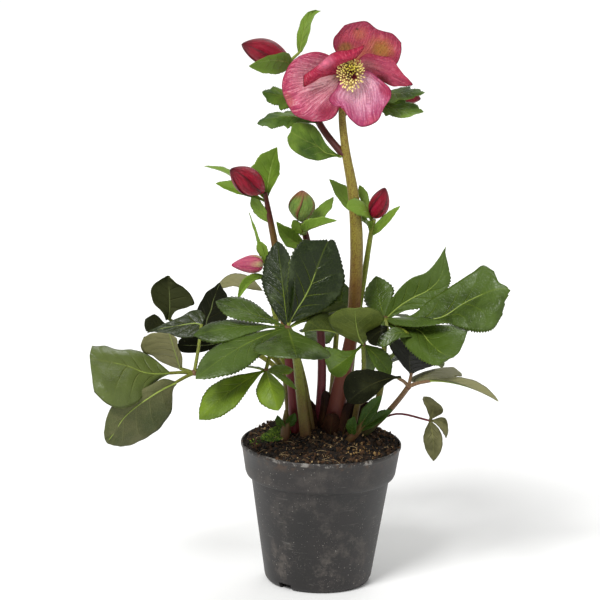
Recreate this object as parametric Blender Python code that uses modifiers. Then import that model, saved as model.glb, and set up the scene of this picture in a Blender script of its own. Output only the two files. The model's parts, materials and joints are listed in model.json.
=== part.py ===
"""Hellebore plant in a round nursery pot: pot, soil, leaves, flower stems, open bloom, buds and basal shoots.

Sizes are in millimetres in the tables and in metres in the scene. X is to the right, Y to the back, Z up.
The origin is the middle of the pot's underside.
"""

import math
import random

import bmesh
import bpy
from mathutils import Matrix, Vector, noise

MM = 0.001

# The pot
POT_HEIGHT = 107.0
POT_RADIUS = 60.0
POT_WALL = 1.5
COLLAR_BOTTOM = 83.0
FOOT_RADIUS = 40.0
TURN_STEPS = 28
NOTCH_ANGLES = (232.0, 352.0, 112.0)
NOTCH_SIZE = (13.0, 11.0, 5.0)
DRAIN_COUNT = 6
DRAIN_RADIUS = 3.0
DRAIN_CIRCLE = 24.0

# The soil
SOIL_EDGE = 103.5
SOIL_MOUND = 12.0
SOIL_LUMP = 1.7
SOIL_TURN_STEPS = 22
ROOT_DEPTH = 12.0
FOOT_ABOVE = 2.0
FIT_GAP = 0.35

# The leaves
BLADE_THICK = 0.9
STALK_HALF = 1.1
TIP_HALF = 0.35
TOOTH = 1.1
TOOTH_START = 0.42
HUB_RADIUS = 2.9

# The open bloom
BLOOM_CENTRE = (14.0, -14.0, 390.0)
BLOOM_AXIS = (0.05, -1.0, 0.12)
RECEPTACLE_RADIUS = 7.5
RECEPTACLE_BACK = 1.5
RECEPTACLE_FRONT = 2.2
SEPAL_THICK = 0.8
STAMEN_COUNT = 36
STAMEN_LENGTH = 9.5
STAMEN_RING = 4.4
STAMEN_TUBE = 1.4
CROWDED = ((138.0, 0.75), (262.0, 0.6))
PISTIL_BASE = 2.4
PISTIL_COUNT = 4

COLOURS = {
    "pot_plastic": ((0.045, 0.046, 0.05), 0.55),
    "soil": ((0.055, 0.032, 0.02), 0.95),
    "leaf_dark": ((0.035, 0.085, 0.02), 0.4),
    "leaf_fresh": ((0.085, 0.2, 0.03), 0.4),
    "leaf_dusky": ((0.075, 0.095, 0.05), 0.45),
    "bract_green": ((0.16, 0.32, 0.06), 0.45),
    "stem_red": ((0.19, 0.1, 0.04), 0.5),
    "sepal_pink": ((0.6, 0.13, 0.24), 0.5),
    "bud_crimson": ((0.3, 0.012, 0.045), 0.35),
    "stamen_yellow": ((0.75, 0.62, 0.2), 0.6),
    "pistil_maroon": ((0.16, 0.01, 0.02), 0.5),
}


# Scene set-up

def clear_scene():
    for obj in list(bpy.data.objects):
        bpy.data.objects.remove(obj)


def make_collection(name):
    collection = bpy.data.collections.new(name)
    bpy.context.scene.collection.children.link(collection)
    return collection


def make_materials():
    made = {}
    for name, (colour, roughness) in COLOURS.items():
        material = bpy.data.materials.new(name)
        material.use_nodes = True
        shader = material.node_tree.nodes["Principled BSDF"]
        shader.inputs["Base Color"].default_value = (*colour, 1.0)
        shader.inputs["Roughness"].default_value = roughness
        shader.inputs["Metallic"].default_value = 0.0
        material.diffuse_color = (*colour, 1.0)
        made[name] = material
    return made


clear_scene()
PLANT = make_collection("hellebore_plant")
CUTTERS = make_collection("cutters")
MATERIALS = make_materials()


def mm(point):
    return Vector(point) * MM


# General shapes

def add_object(name, mesh, collection=PLANT):
    obj = bpy.data.objects.new(name, mesh)
    collection.objects.link(obj)
    return obj


def make_cutter(obj):
    obj.hide_render = True
    obj.display_type = "WIRE"
    return obj


def to_mesh_object(obj, collection=PLANT):
    """A plain mesh object of what the modifiers or the curve make, which takes the first object's place."""
    bpy.context.view_layer.update()
    graph = bpy.context.evaluated_depsgraph_get()
    mesh = bpy.data.meshes.new_from_object(obj.evaluated_get(graph))
    mesh.transform(obj.matrix_world)
    name = obj.name
    bpy.data.objects.remove(obj)
    shape = bmesh.new()
    shape.from_mesh(mesh)
    bmesh.ops.remove_doubles(shape, verts=shape.verts, dist=1e-6)
    shape.to_mesh(mesh)
    shape.free()
    return add_object(name, mesh, collection)


def finish(obj, material, smooth_angle=40.0):
    obj.data.materials.clear()
    obj.data.materials.append(MATERIALS[material])
    obj.data.shade_smooth()
    obj.data.set_sharp_from_angle(angle=math.radians(smooth_angle))
    return obj


def smooth_path(points, per_span=3):
    """Points of a Catmull-Rom curve through the given ones."""
    known = [Vector(p) for p in points]
    ends = [known[0] * 2 - known[1], *known, known[-1] * 2 - known[-2]]
    path = []
    for a, b, c, d in zip(ends, ends[1:], ends[2:], ends[3:]):
        for step in range(per_span):
            t = step / per_span
            path.append(
                0.5 * (2 * b + (c - a) * t + (2 * a - 5 * b + 4 * c - d) * t * t
                       + (3 * b - a - 3 * c + d) * t ** 3)
            )
    path.append(known[-1])
    return path


def stem_path(points, radii, per_span=2, root=0.0):
    """(point, radius) pairs along a smooth curve through points in mm. root carries its foot straight on down."""
    path = smooth_path(points, per_span)
    if root:
        path.insert(0, path[0] - (path[1] - path[0]).normalized() * root)
    pairs = []
    for i, where in enumerate(path):
        share = i / (len(path) - 1) * (len(radii) - 1)
        low = min(int(share), len(radii) - 2)
        pairs.append((where, radii[low] + (radii[low + 1] - radii[low]) * (share - low)))
    return pairs


def tube(name, pairs, sides=6, collection=PLANT):
    """A round stem through (point, radius) pairs in mm, closed at both ends."""
    curve = bpy.data.curves.new(name, "CURVE")
    curve.dimensions = "3D"
    curve.bevel_depth = 1.0
    curve.bevel_resolution = (sides - 4) // 2
    curve.use_fill_caps = True
    spline = curve.splines.new("POLY")
    spline.points.add(len(pairs) - 1)
    for point, (where, radius) in zip(spline.points, pairs):
        point.co = (*mm(where), 1.0)
        point.radius = radius * MM
    return to_mesh_object(add_object(name, curve, collection), collection)


def knot(name, centre, radius, flat=1.0):
    """A small rounded lump, for a hub where leaflets meet."""
    shape = bmesh.new()
    bmesh.ops.create_icosphere(shape, subdivisions=1, radius=radius * MM)
    bmesh.ops.scale(shape, vec=(1, 1, flat), verts=shape.verts)
    bmesh.ops.translate(shape, vec=mm(centre), verts=shape.verts)
    mesh = bpy.data.meshes.new(name)
    shape.to_mesh(mesh)
    shape.free()
    return add_object(name, mesh)


def spike(name, base, tip, base_radius, tip_radius, sides=3):
    """A straight filament, thin at its base or at its tip."""
    base, tip = Vector(base), Vector(tip)
    along = tip - base
    place = Matrix.Translation((base + tip) / 2 * MM) @ along.to_track_quat("Z", "Y").to_matrix().to_4x4()
    shape = bmesh.new()
    bmesh.ops.create_cone(
        shape, cap_ends=True, segments=sides, radius1=base_radius * MM, radius2=tip_radius * MM,
        depth=along.length * MM, matrix=place,
    )
    mesh = bpy.data.meshes.new(name)
    shape.to_mesh(mesh)
    shape.free()
    return add_object(name, mesh)


def fuse(name, pieces):
    """One body of several overlapping pieces, by a Boolean union on their collection."""
    first, others = pieces[0], pieces[1:]
    if others:
        group = make_collection(name + "_pieces")
        for piece in others:
            for owner in list(piece.users_collection):
                owner.objects.unlink(piece)
            group.objects.link(piece)
        union = first.modifiers.new("union", "BOOLEAN")
        union.operation = "UNION"
        union.operand_type = "COLLECTION"
        union.collection = group
        union.solver = "MANIFOLD"
        first = to_mesh_object(first)
        for piece in list(group.objects):
            bpy.data.objects.remove(piece)
        bpy.data.collections.remove(group)
    first.name = name
    return first


# Leaf blades, bracts and sepals

def outline_half(s, width, widest, fullness):
    """Half the width of a blade at a share s of its length."""
    power = math.log(0.5) / math.log(widest)
    swell = math.sin(math.pi * min(max(s, 0.0), 1.0) ** power)
    least = STALK_HALF if s < 0.5 else TIP_HALF
    return max(least, width / 2 * max(swell, 0.0) ** fullness)


def blade(name, base, tip, width, face, bow=0.0, fold=0.0, curl=0.0, twist=0.0, sway=0.0, widest=0.6,
          fullness=0.8, teeth=0.0, wave=0.0, rows=7, cols=4, thick=BLADE_THICK):
    """A thin arched blade from base to tip. Its upper side looks towards face.

    bow lifts its middle towards face and sway moves it sideways, in mm. fold lifts both halves from the midrib,
    and curl rolls them on to their margins, in degrees. twist turns the tip round the midrib.
    """
    base, tip = Vector(base), Vector(tip)
    along = (tip - base).normalized()
    face = Vector(face)
    normal = (face - along * face.dot(along)).normalized()
    side = along.cross(normal)
    middle = (base + tip) / 2 + normal * bow * 2 + side * sway * 2
    surface = bmesh.new()
    bmesh.ops.create_grid(surface, x_segments=cols, y_segments=rows, size=1.0)
    for vertex in surface.verts:
        s, t = (vertex.co.y + 1) / 2, vertex.co.x
        rib = base * (1 - s) ** 2 + middle * 2 * s * (1 - s) + tip * s * s
        tangent = ((middle - base) * (1 - s) + (tip - middle) * s).normalized()
        turn = Matrix.Rotation(math.radians(twist) * s, 3, tangent)
        across = turn @ (tangent.cross(normal).normalized())
        lift = across.cross(tangent)
        half = outline_half(s, width, widest, fullness)
        row = round(s * rows)
        if abs(t) > 0.99 and TOOTH_START < s < 0.99 and teeth:
            half += teeth * (0.7 if row % 2 else -0.5)
        start = math.radians(fold)
        bend = math.radians(curl)
        reach = abs(t) * half
        if abs(bend) > 0.01:
            radius = half / bend
            angle = bend * abs(t)
            out = radius * (math.sin(start + angle) - math.sin(start))
            up = radius * (math.cos(start) - math.cos(start + angle))
        else:
            out = reach * math.cos(start)
            up = reach * math.sin(start)
        up += wave * abs(t) * math.sin(s * math.tau * 1.5 + (0.0 if t < 0 else 2.0))
        vertex.co = (rib + across * math.copysign(out, t) + lift * up) * MM
    bmesh.ops.triangulate(surface, faces=surface.faces)
    mesh = bpy.data.meshes.new(name)
    surface.to_mesh(mesh)
    surface.free()
    obj = add_object(name, mesh)
    shell = obj.modifiers.new("thickness", "SOLIDIFY")
    shell.thickness = thick * MM
    shell.offset = 0.0
    return to_mesh_object(obj)


def leaflet(tip, width, face, start=None, **shape):
    """One row of a leaf's table. start is where the blade leaves its own short stalk from the hub."""
    return {"tip": tip, "width": width, "face": face, "start": start, **shape}


def leaf(name, petiole, radii, material, leaflets):
    """A palmate leaf: its petiole from the soil to the hub, and a blade for each leaflet."""
    pieces = [planted(name, petiole, radii)]
    hub = Vector(petiole[-1])
    pieces.append(knot(name + "_hub", hub, HUB_RADIUS * min(1.0, radii[-1] / 1.6)))
    for i, row in enumerate(leaflets):
        shape = {"teeth": TOOTH, **row}
        start, tip = shape.pop("start"), Vector(shape.pop("tip"))
        if start is None:
            base = hub
        else:
            start = Vector(start)
            pieces.append(tube(f"{name}_stalk_{i}", [(hub, 1.5), (start, 1.3)]))
            base = start + (start - tip).normalized() * 2.0
        pieces.append(blade(f"{name}_blade_{i}", base, tip, **shape))
    return finish(fuse(name, pieces), material)


# The paths of the stems that stand in the soil, which gets a hole for each

PLANTED = []


def planted(name, points, radii, sides=6):
    """A stem whose foot is just above the soil and whose root goes straight down into its hole."""
    foot = Vector(points[0])
    foot.z = soil_height(foot.x, foot.y) + FOOT_ABOVE
    points = [foot, *points[1:]]
    PLANTED.append((stem_path(points, radii, root=ROOT_DEPTH), sides))
    return tube(name, PLANTED[-1][0], sides)


def soil_height(x, y):
    """The soil's surface in mm: a mound at the crown with lumps, lower at the pot's wall."""
    away = min(1.0, math.hypot(x - 4, y - 8) / 58)
    lump = noise.noise(Vector((x, y, 3.0)) / 11.0) + 0.6 * noise.noise(Vector((x, y, 9.0)) / 5.0)
    back_left = math.exp(-((x + 38) ** 2 + (y - 26) ** 2) / 260)
    return SOIL_EDGE + SOIL_MOUND * (1 - away * away) ** 1.2 + SOIL_LUMP * lump * min(1.0, away * 2) + 4 * back_left


# The leaves: petiole points, radii, material, then a row for each leaflet

LEAVES = {
    "leaf_left_low": (
        [(-14, 14, 114), (-20, 10, 135), (-30, 9, 160), (-44, -4, 176), (-66, -20, 174), (-95, -30, 166)],
        [2.6, 2.2, 2, 2], "leaf_dusky",
        [
            leaflet((-171, -50, 181.5), 65.5, (0.27, -0.83, 1), start=(-104, -32, 164), sway=0.5,
                    fold=-27, curl=-8, twist=3, widest=0.69, fullness=0.68),
            leaflet((-159.5, -58, 121), 47, (-0.3, 1, 0.42), start=(-102, -36, 160), bow=4,
                    sway=-1.5, fold=-4, curl=-24, twist=1, widest=0.62, fullness=0.61),
            leaflet((-112, -46, 196), 46, (0, 0.61, 0.79), start=(-98, -28, 172), bow=30, curl=-16,
                    fullness=0.6),
            leaflet((-80.5, 9, 177.5), 29, (0, -0.25, 1), start=(-100, -22, 176), bow=4, sway=-3,
                    fold=-1, twist=-3, widest=0.57, fullness=0.61, cols=2),
        ],
    ),
    "leaf_left_back": (
        [(-12, 31, 112), (-24, 35, 142), (-52, 32, 166), (-94, 24, 178)],
        [2.6, 2.2, 1.8, 1.8], "leaf_dusky",
        [
            leaflet((-117, 19, 227.5), 39.5, (0.27, -1, 0.14), start=(-115, 20, 190), bow=-1.5,
                    fold=24, curl=33, twist=-11, widest=0.69, fullness=0.64),
            leaflet((-133, 1, 197.5), 14.5, (-0.23, -1, 0.21), start=(-116, 22, 188), bow=-2,
                    sway=-2, fold=-1, curl=15, twist=4, widest=0.65, fullness=0.75, rows=6, cols=2),
            leaflet((-77.5, 6.5, 225.5), 25.5, (-0.49, -1, 0.63), start=(-93, 20, 186), bow=-1,
                    sway=-1, fold=-14, curl=-5, twist=2, fullness=0.85, cols=2),
            leaflet((-46.5, 34, 213.5), 20, (0.01, -0.28, 1), start=(-86, 36, 202), bow=14.5,
                    sway=-2, fold=-9, curl=10, twist=1, widest=0.63, fullness=0.75, cols=2),
        ],
    ),
    "leaf_front": (
        [(-12, -10, 113), (-16, -16, 147), (-20, -32, 181), (-24, -46, 201), (-27, -52, 208)],
        [4.2, 3.6, 2.8, 2.2], "leaf_dark",
        [
            leaflet((-36, -25, 266), 30.5, (-0.68, -1, 0.01), bow=1, sway=1, fold=13, curl=8,
                    twist=2, widest=0.55, fullness=0.72),
            leaflet((-1.5, -41, 272), 44.5, (0.22, -1, 0.1), bow=-2, sway=3.5, fold=16, curl=15,
                    twist=-7, widest=0.67, fullness=0.58),
            leaflet((-80, -45, 224.5), 23.5, (-0.06, -0.51, 1), bow=2, sway=-0.5, fold=7, curl=-9,
                    widest=0.67, fullness=0.88, cols=2),
            leaflet((-95.5, -58, 202), 22.5, (0.02, -0.45, 1), bow=4.5, sway=-0.5, fold=1, curl=-23,
                    twist=-11, widest=0.69, fullness=0.94, cols=2),
            leaflet((-92, -95, 179.5), 35.5, (-0.51, -0.77, 1), bow=5, sway=1, fold=4, curl=-27,
                    twist=-1, widest=0.61, fullness=0.82),
            leaflet((-19.5, -107.5, 200), 57.5, (-0.02, -0.13, 1), bow=2, sway=0.5, fold=11,
                    curl=-42, twist=-8, widest=0.68, fullness=0.7),
            leaflet((17, -22, 216), 26, (0.2, 0.9, 0.8), bow=2, fold=10, cols=2),
        ],
    ),
    "leaf_low_front": (
        [(-7, 3, 115), (-14, -4, 156), (-22, -28, 184), (-37, -50, 190), (-42, -60, 178)],
        [2.2, 1.8, 1.6, 1.4], "leaf_fresh",
        [
            leaflet((-89.5, -77.5, 144), 27.5, (-0.35, -1, 0.85), bow=4.5, sway=1, fold=7, curl=-11,
                    twist=9, widest=0.64, fullness=0.82),
            leaflet((-32, -85, 154.5), 24, (0.12, -1, 0.42), bow=4.5, sway=1, fold=-19, curl=-15,
                    twist=-9, widest=0.57, fullness=0.68, cols=2),
            leaflet((-22, -50, 176), 10, (0, -0.6, 1), rows=6, cols=2),
            leaflet((-19, -62, 164), 7, (0.2, -0.4, 1), bow=2, rows=6, cols=2),
            leaflet((-70, -44, 174), 22, (0, 0.25, 1), bow=2, cols=2),
        ],
    ),
    "leaf_middle": (
        [(23, -1, 114), (28, -10, 150), (30, -18, 170), (29, -25, 190)],
        [2.4, 2, 1.8, 1.8], "leaf_fresh",
        [
            leaflet((21.5, -62, 226.5), 42, (-0.08, 1, 0.7), bow=-3.5, sway=1.5, fold=11, curl=11,
                    twist=-3, widest=0.61, fullness=0.54),
            leaflet((4, -39.5, 172.5), 32, (-0.58, -1, 0.83), bow=2.5, sway=-3, fold=16, curl=17,
                    twist=-5, widest=0.8, fullness=0.83, cols=2),
            leaflet((37, -8, 164), 15, (0.3, -1, 0.4), fold=8, rows=6, cols=2),
            leaflet((50, -22, 166), 17, (0.1, -0.8, 1), bow=2, fold=10, rows=6, cols=2),
            leaflet((-16.5, -53, 205), 25, (-0.15, 1, 0.88), bow=7.5, sway=1.5, fold=20, curl=38,
                    twist=10, widest=0.64, fullness=0.74, cols=2),
        ],
    ),
    "leaf_right": (
        [(33, 13, 112), (42, 10, 138), (45, 7, 168), (45, 0, 203)],
        [2.8, 2.4, 2, 2], "leaf_dark",
        [
            leaflet((88.5, -5, 255), 33.5, (-0.18, -1, 0.45), bow=-5, sway=2.5, fold=-20, curl=-4,
                    twist=-32, fullness=0.74),
            leaflet((134, -33.5, 235.5), 49, (0.05, -1, 0.71), bow=-0.5, sway=4, fold=11, curl=-20,
                    twist=-3, widest=0.78, fullness=0.67),
            leaflet((96, -69, 191.5), 47, (0.19, -0.78, 1), bow=1, fold=24, curl=-13, twist=8,
                    widest=0.76, fullness=0.69),
            leaflet((38, 26, 229), 24, (-0.33, -1, 0.27), bow=-2, sway=-2, fold=4, curl=-15,
                    twist=-2, widest=0.62, fullness=0.88, cols=2),
            leaflet((89, -38.5, 211.5), 18.5, (0.03, -0.25, 1), bow=1.5, sway=4, fold=-7, curl=-1,
                    twist=1, widest=0.54, fullness=0.69, rows=6, cols=2),
            leaflet((43.5, -41.5, 192), 18.5, (-0.16, -1, 0.79), bow=1, sway=2, fold=4, curl=-23,
                    twist=-5, widest=0.69, fullness=0.85, rows=6, cols=2),
        ],
    ),
    "leaf_right_low": (
        [(33, 1, 112), (47, -8, 131), (57, -25, 149), (63, -35, 161)],
        [2.6, 2.2, 2, 2], "leaf_dusky",
        [
            leaflet((18.5, -57.5, 154), 31.5, (-0.54, -1, 0.62), start=(56, -44, 170), bow=4.5,
                    sway=2.5, fold=13, curl=34, twist=1, widest=0.71, fullness=0.7),
            leaflet((65.5, 16, 179), 42.5, (0.31, -0.28, 1), start=(65, -27, 168), bow=-1.5, sway=-1,
                    fold=16, curl=-4, twist=13, widest=0.66, fullness=0.75),
            leaflet((97.5, 11.5, 164), 40.5, (-0.37, -0.15, 1), start=(70, -28, 162), bow=3,
                    sway=-1.5, fold=-3, curl=-21, twist=6, widest=0.57, fullness=0.67, cols=2),
            leaflet((127.5, -74.5, 162.5), 16.5, (0.02, 0.02, 1), start=(78, -42, 168), bow=5,
                    sway=2, fold=19, curl=5, twist=2, widest=0.55, fullness=0.75, cols=2),
        ],
    ),
    "leaf_small": (
        [(36, 26, 110), (56, 10, 127), (80, -20, 131)],
        [0.9, 0.8, 0.8], "leaf_dusky",
        [
            leaflet((78.5, -46, 156.5), 18, (-0.33, -1, 0.16), bow=-3, sway=1.5, fold=6, curl=-6,
                    twist=-6, widest=0.61, fullness=0.83, teeth=0, rows=6, cols=2),
            leaflet((91.5, -41, 124), 13.5, (-1, -0.68, 0.12), bow=-6, sway=-3.5, fold=16, curl=-2,
                    twist=14, widest=0.59, fullness=0.82, teeth=0, rows=6, cols=2),
            leaflet((83, -40.5, 106), 14.5, (-0.01, -1, 0.23), bow=3, sway=-1, fold=-10, curl=19,
                    twist=-9, widest=0.53, fullness=0.77, teeth=0, rows=6, cols=2),
        ],
    ),
    "leaf_back": (
        [(6, 31, 113), (8, 46, 142), (10, 62, 176)],
        [2.6, 2.2, 2], "leaf_dark",
        [
            leaflet((14, 48, 218), 26, (-0.1, -1, 0.6), fold=8, rows=6, cols=2),
            leaflet((-14, 46, 176), 26, (-0.2, -0.8, 1), bow=2, rows=6, cols=2),
            leaflet((20, 128, 166), 42, (0, 0.4, 1), bow=10, fold=10, curl=-16, widest=0.62, rows=6,
                    cols=2),
            leaflet((66, 104, 176), 36, (0.3, 0.3, 1), bow=8, fold=10, rows=6, cols=2),
            leaflet((-40, 108, 168), 38, (-0.2, 0.3, 1), bow=8, fold=10, rows=6, cols=2),
        ],
    ),
    "leaf_back_left": (
        [(-6, 42, 110), (-18, 54, 132), (-34, 66, 154)],
        [2.4, 2, 1.8], "leaf_dark",
        [
            leaflet((-76, 74, 172), 32, (-0.3, 0.2, 1), bow=6, fold=8, rows=6, cols=2),
            leaflet((-70, 104, 150), 34, (-0.3, 0.4, 1), bow=8, fold=8, rows=6, cols=2),
            leaflet((-26, 112, 138), 32, (0, 0.6, 1), bow=8, fold=8, rows=6, cols=2),
        ],
    ),
    "leaf_back_right": (
        [(22, 38, 110), (34, 50, 130), (46, 62, 150)],
        [2.4, 2, 1.8], "leaf_dark",
        [
            leaflet((84, 62, 168), 32, (0.3, 0.2, 1), bow=6, fold=8, rows=6, cols=2),
            leaflet((92, 96, 140), 34, (0.4, 0.4, 1), bow=8, fold=8, rows=6, cols=2),
            leaflet((48, 112, 136), 32, (0, 0.6, 1), bow=8, fold=8, rows=6, cols=2),
        ],
    ),
}


def make_leaves():
    for name, (petiole, radii, material, leaflets) in LEAVES.items():
        leaf(name, petiole, radii, material, leaflets)


# Flower stems with their leafy bracts

def bract(base, tip, width, face, **shape):
    """One row of a flower stem's table, or of the bloom's."""
    return {"base": base, "tip": tip, "width": width, "face": face, **shape}


def nearest_on(paths, point):
    """The nearest place to point on the middle of any of the paths."""
    found = []
    for path in paths:
        for (a, _), (b, _) in zip(path, path[1:]):
            share = (point - a).dot(b - a) / (b - a).length_squared
            found.append(a.lerp(b, min(1.0, max(0.0, share))))
    return min(found, key=lambda place: (place - point).length)


def flower_stem(name, points, radii, branches, bracts, material="stem_red"):
    """A flower stem, its side branches as (points, radii), and the bracts that grow from it."""
    pieces = [planted(name, points, radii)]
    paths = [PLANTED[-1][0]]
    for i, (side_points, side_radii) in enumerate(branches):
        paths.append(stem_path(side_points, side_radii))
        pieces.append(tube(f"{name}_branch_{i}", paths[-1]))
    for i, row in enumerate(bracts):
        shape = {"rows": 6, "cols": 2, "teeth": 0.5, **row}
        base = nearest_on(paths, Vector(shape.pop("base")))
        pieces.append(blade(f"{name}_bract_{i}", base, **shape))
    return finish(fuse(name, pieces), material)


MAIN_BRANCHES = [
    ([(11, 0, 326), (-5, 8, 344), (-16, 14, 364), (-25, 14, 383), (-29.5, 12.4, 393.6)], [2.0, 1.8, 1.6]),
    ([(9.2, 2, 354), (18, 9.5, 363.5), (32, 16, 368.8), (46.5, 20, 368.4)], [1.7, 1.4, 1.2]),
]

MAIN_BRACTS = [
    bract((-26, 12, 385), (-11.5, -2, 435), 21, (-1, -0.54, 0.16), bow=2, sway=-0.5, fold=13, curl=7,
          twist=-18, widest=0.71, fullness=0.74, rows=8),
    bract((-28, 10, 390), (-59.5, -28.5, 396.5), 22, (-0.01, -1, 0), bow=-0.5, sway=3.5, fold=23,
          curl=28, twist=-8, widest=0.52, fullness=0.72),
    bract((-17, 13, 364), (-50, 4.5, 371), 21, (-0.3, -1, 0.65), bow=1, sway=-1, fold=-19, curl=-2,
          twist=5, widest=0.54, fullness=0.75, teeth=1.4),
    bract((-8, 8, 347), (-53, -2, 348.5), 21.5, (-0.19, -0.69, 1), bow=6, sway=2, fold=-17, curl=-1,
          twist=6, widest=0.63, fullness=0.76, teeth=1.6),
    bract((9, -1, 326), (-31, -22.5, 342), 33, (0.09, -1, 0.86), bow=1.5, sway=2, fold=20, curl=-18,
          twist=2, widest=0.61, teeth=1.2, cols=4),
    bract((39, 16, 369.5), (69, -5, 375.5), 22, (0.09, -0.67, 1), bow=2, sway=2.5, fold=-8, twist=-1,
          widest=0.43, fullness=0.72, teeth=1.6),
    bract((30, 14, 368), (68.5, -5, 361), 25.5, (0.34, -0.9, 1), bow=-2, sway=3.5, fold=-1, curl=14,
          twist=-9, fullness=0.88, teeth=1.8),
]
LEFT_BRACTS = [
    bract((-44.5, 7, 289), (-38, 23.5, 326), 31.5, (-0.25, -1, 0.17), bow=-5, sway=-3, fold=37,
          curl=12, twist=-7, widest=0.57, fullness=0.93, cols=4),
    bract((-45, 6, 290), (-92, 24.5, 310), 11.5, (0.16, -0.27, 1), bow=4, sway=1.5, fold=12, curl=9,
          twist=6, widest=0.56, fullness=0.79),
    bract((-44.5, 7, 288), (-83, 16, 299), 11, (-0.37, -0.83, 1), bow=-2, sway=2.5, fold=19, curl=17,
          twist=-1, widest=0.64),
    bract((-42.5, 7, 271), (-56, 13.5, 291.5), 11, (-0.86, -1, 0.48), bow=2.5, fold=3, curl=13,
          twist=-6, widest=0.58, fullness=0.73),
]
CENTRE_BRACTS = [
    bract((-16.5, -2, 272), (4.5, 16.5, 291), 13, (-0.79, -1, 0.62), bow=-3, fold=6, curl=3,
          twist=-4, widest=0.58, fullness=0.86),
    bract((-15, -4, 266), (7, -29.5, 283.5), 15.5, (-0.45, -1, 0.63), bow=8.5, sway=2, fold=33,
          curl=37, twist=-16, widest=0.52, fullness=0.69),
    bract((-14.5, -2, 256), (-37, -23.5, 280.5), 17, (-0.16, -1, 0.49), bow=-2, sway=-3.5, fold=27,
          curl=24, twist=-4, widest=0.54, fullness=0.89),
    bract((-15.5, -1, 268), (-25, -9, 278.5), 9.5, (0.44, -1, 0.45), bow=-0.5, sway=-1.5, fold=-5,
          curl=5, widest=0.59, fullness=0.74),
]
RIGHT_BRACTS = [
    bract((32, 5, 270), (1, 19.5, 303.5), 16, (0.63, -1, 0.75), bow=-4.5, sway=2.5, fold=12, curl=13,
          twist=2, widest=0.61, fullness=0.84),
    bract((32.5, 4, 266), (14, -18.5, 291.5), 15.5, (0, -0.8, 1), bow=7.5, sway=4.5, fold=2, curl=-7,
          twist=-6, widest=0.68, fullness=0.6),
    bract((34, 4, 275), (23.5, 15.5, 300.5), 7, (0.01, -1, 0.23), bow=0.5, fold=-2, curl=1, twist=-1,
          widest=0.71),
    bract((32.5, 6, 264), (53.5, -4.5, 290), 8.5, (-0.26, -1, 0.44), bow=1, sway=0.5, fold=18,
          curl=12, twist=-14, widest=0.49, fullness=0.71),
    bract((32, 0, 262), (29, -6, 279), 6, (-0.33, -1, 0.01), bow=-3, fold=-5, curl=-9, twist=5,
          widest=0.69, fullness=0.81),
]
LOW_BRACTS = [
    bract((-43.5, 10, 234), (-51, 11, 257.5), 11, (-0.9, -1, 0.05), bow=-2, sway=2, fold=28,
          curl=-12, twist=16, widest=0.69, fullness=0.88),
    bract((-43, 9, 229), (-64, -14, 218.5), 10.5, (-0.14, -0.69, 1), bow=4, sway=3.5, fold=28,
          curl=34, twist=-8, widest=0.52, fullness=0.67),
    bract((-42, 11, 232), (-58, 12, 279), 4, (-1, -1, 0.2), bow=-1, widest=0.4, teeth=0),
]


def bloom_point(across, up, out):
    """A place on the open bloom, from its centre: across and up in its plane, and out along its axis."""
    axis = Vector(BLOOM_AXIS).normalized()
    right = Vector((1, 0, 0)) - axis * axis.x
    right.normalize()
    above = axis.cross(right)
    if above.z < 0:
        above.negate()
    return Vector(BLOOM_CENTRE) + right * across + above * up + axis * out


def make_flower_stems():
    behind = [tuple(bloom_point(0, 0, -out)) for out in (9.0, 4.5, RECEPTACLE_BACK + 0.45)]
    flower_stem("flower_stem_main",
                [(9, 5, 116), (13, 3.5, 146), (20, 2, 186), (22.5, 2, 230), (22, 1, 266), (18.5, 0, 299),
                 (12, 0, 332), (9, 3, 362), *behind],
                [7.6, 6.4, 4.7, 4.7, 4.8, 4.6, 4.2, 3.4, 2.4, 2.0, 1.9], MAIN_BRANCHES, MAIN_BRACTS)
    flower_stem("flower_stem_left",
                [(-20, 2, 113), (-23, 0, 152), (-31, 4, 208), (-37, 8, 250), (-43.5, 7, 282), (-46, 4, 295.5)],
                [4.3, 3.6, 3.0, 2.8, 2.1, 1.6], [], LEFT_BRACTS)
    flower_stem("flower_stem_centre",
                [(-2, 14, 114), (-1, 10, 136), (-1, 8, 168), (-5, 5, 215), (-12, 0, 250), (-15, -2, 264),
                 (-18, -3, 275)],
                [4.2, 3.6, 3.2, 3.0, 2.8, 2.6, 2.2], [], CENTRE_BRACTS)
    flower_stem("flower_stem_right",
                [(18, 23, 113), (22, 17, 174), (26, 14, 210), (29.5, 11, 238), (32.3, 7.5, 262), (34.6, 4.4, 277.3)],
                [2.8, 2.4, 2.3, 2.2, 1.9, 1.7], [], RIGHT_BRACTS)
    flower_stem("flower_stem_low",
                [(-24, 17, 111), (-28, 17, 150), (-36, 15, 196), (-42, 12, 222), (-43, 9, 235), (-45.5, 8, 240.5)],
                [2.4, 2.0, 1.8, 1.5, 1.3], [], LOW_BRACTS)


# The open bloom

SEPALS = [
    bract((8, -14.5, 388.5), (-33.5, -20.5, 372.5), 52.5, (-0.1, -1, 0.12), bow=-3, sway=-1, fold=-5,
          curl=14, twist=-1, widest=0.52, fullness=0.48, wave=2),
    bract((16.5, -14.5, 384.5), (27.5, -37, 355.5), 43, (-0.01, -0.97, 1), bow=3, sway=-1, fold=20,
          curl=12, twist=-1, widest=0.55, fullness=0.43, wave=-2),
    bract((20, -14, 389), (57, -12, 380), 40, (-0.09, -0.39, 1), sway=-3, fold=20, curl=16, twist=-1,
          widest=0.35, fullness=0.51),
    bract((17, -14, 395.5), (30.5, -19, 428), 57.5, (0.3, -1, -0.27), bow=3.5, sway=-0.5, fold=4,
          curl=9, twist=6, widest=0.61, fullness=0.43, wave=2),
    bract((9.5, -15, 394), (-5.5, -48, 407), 53, (0.61, 0.12, -1), bow=-5, sway=3, fold=5, curl=15,
          widest=0.67, fullness=0.63),
]


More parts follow.
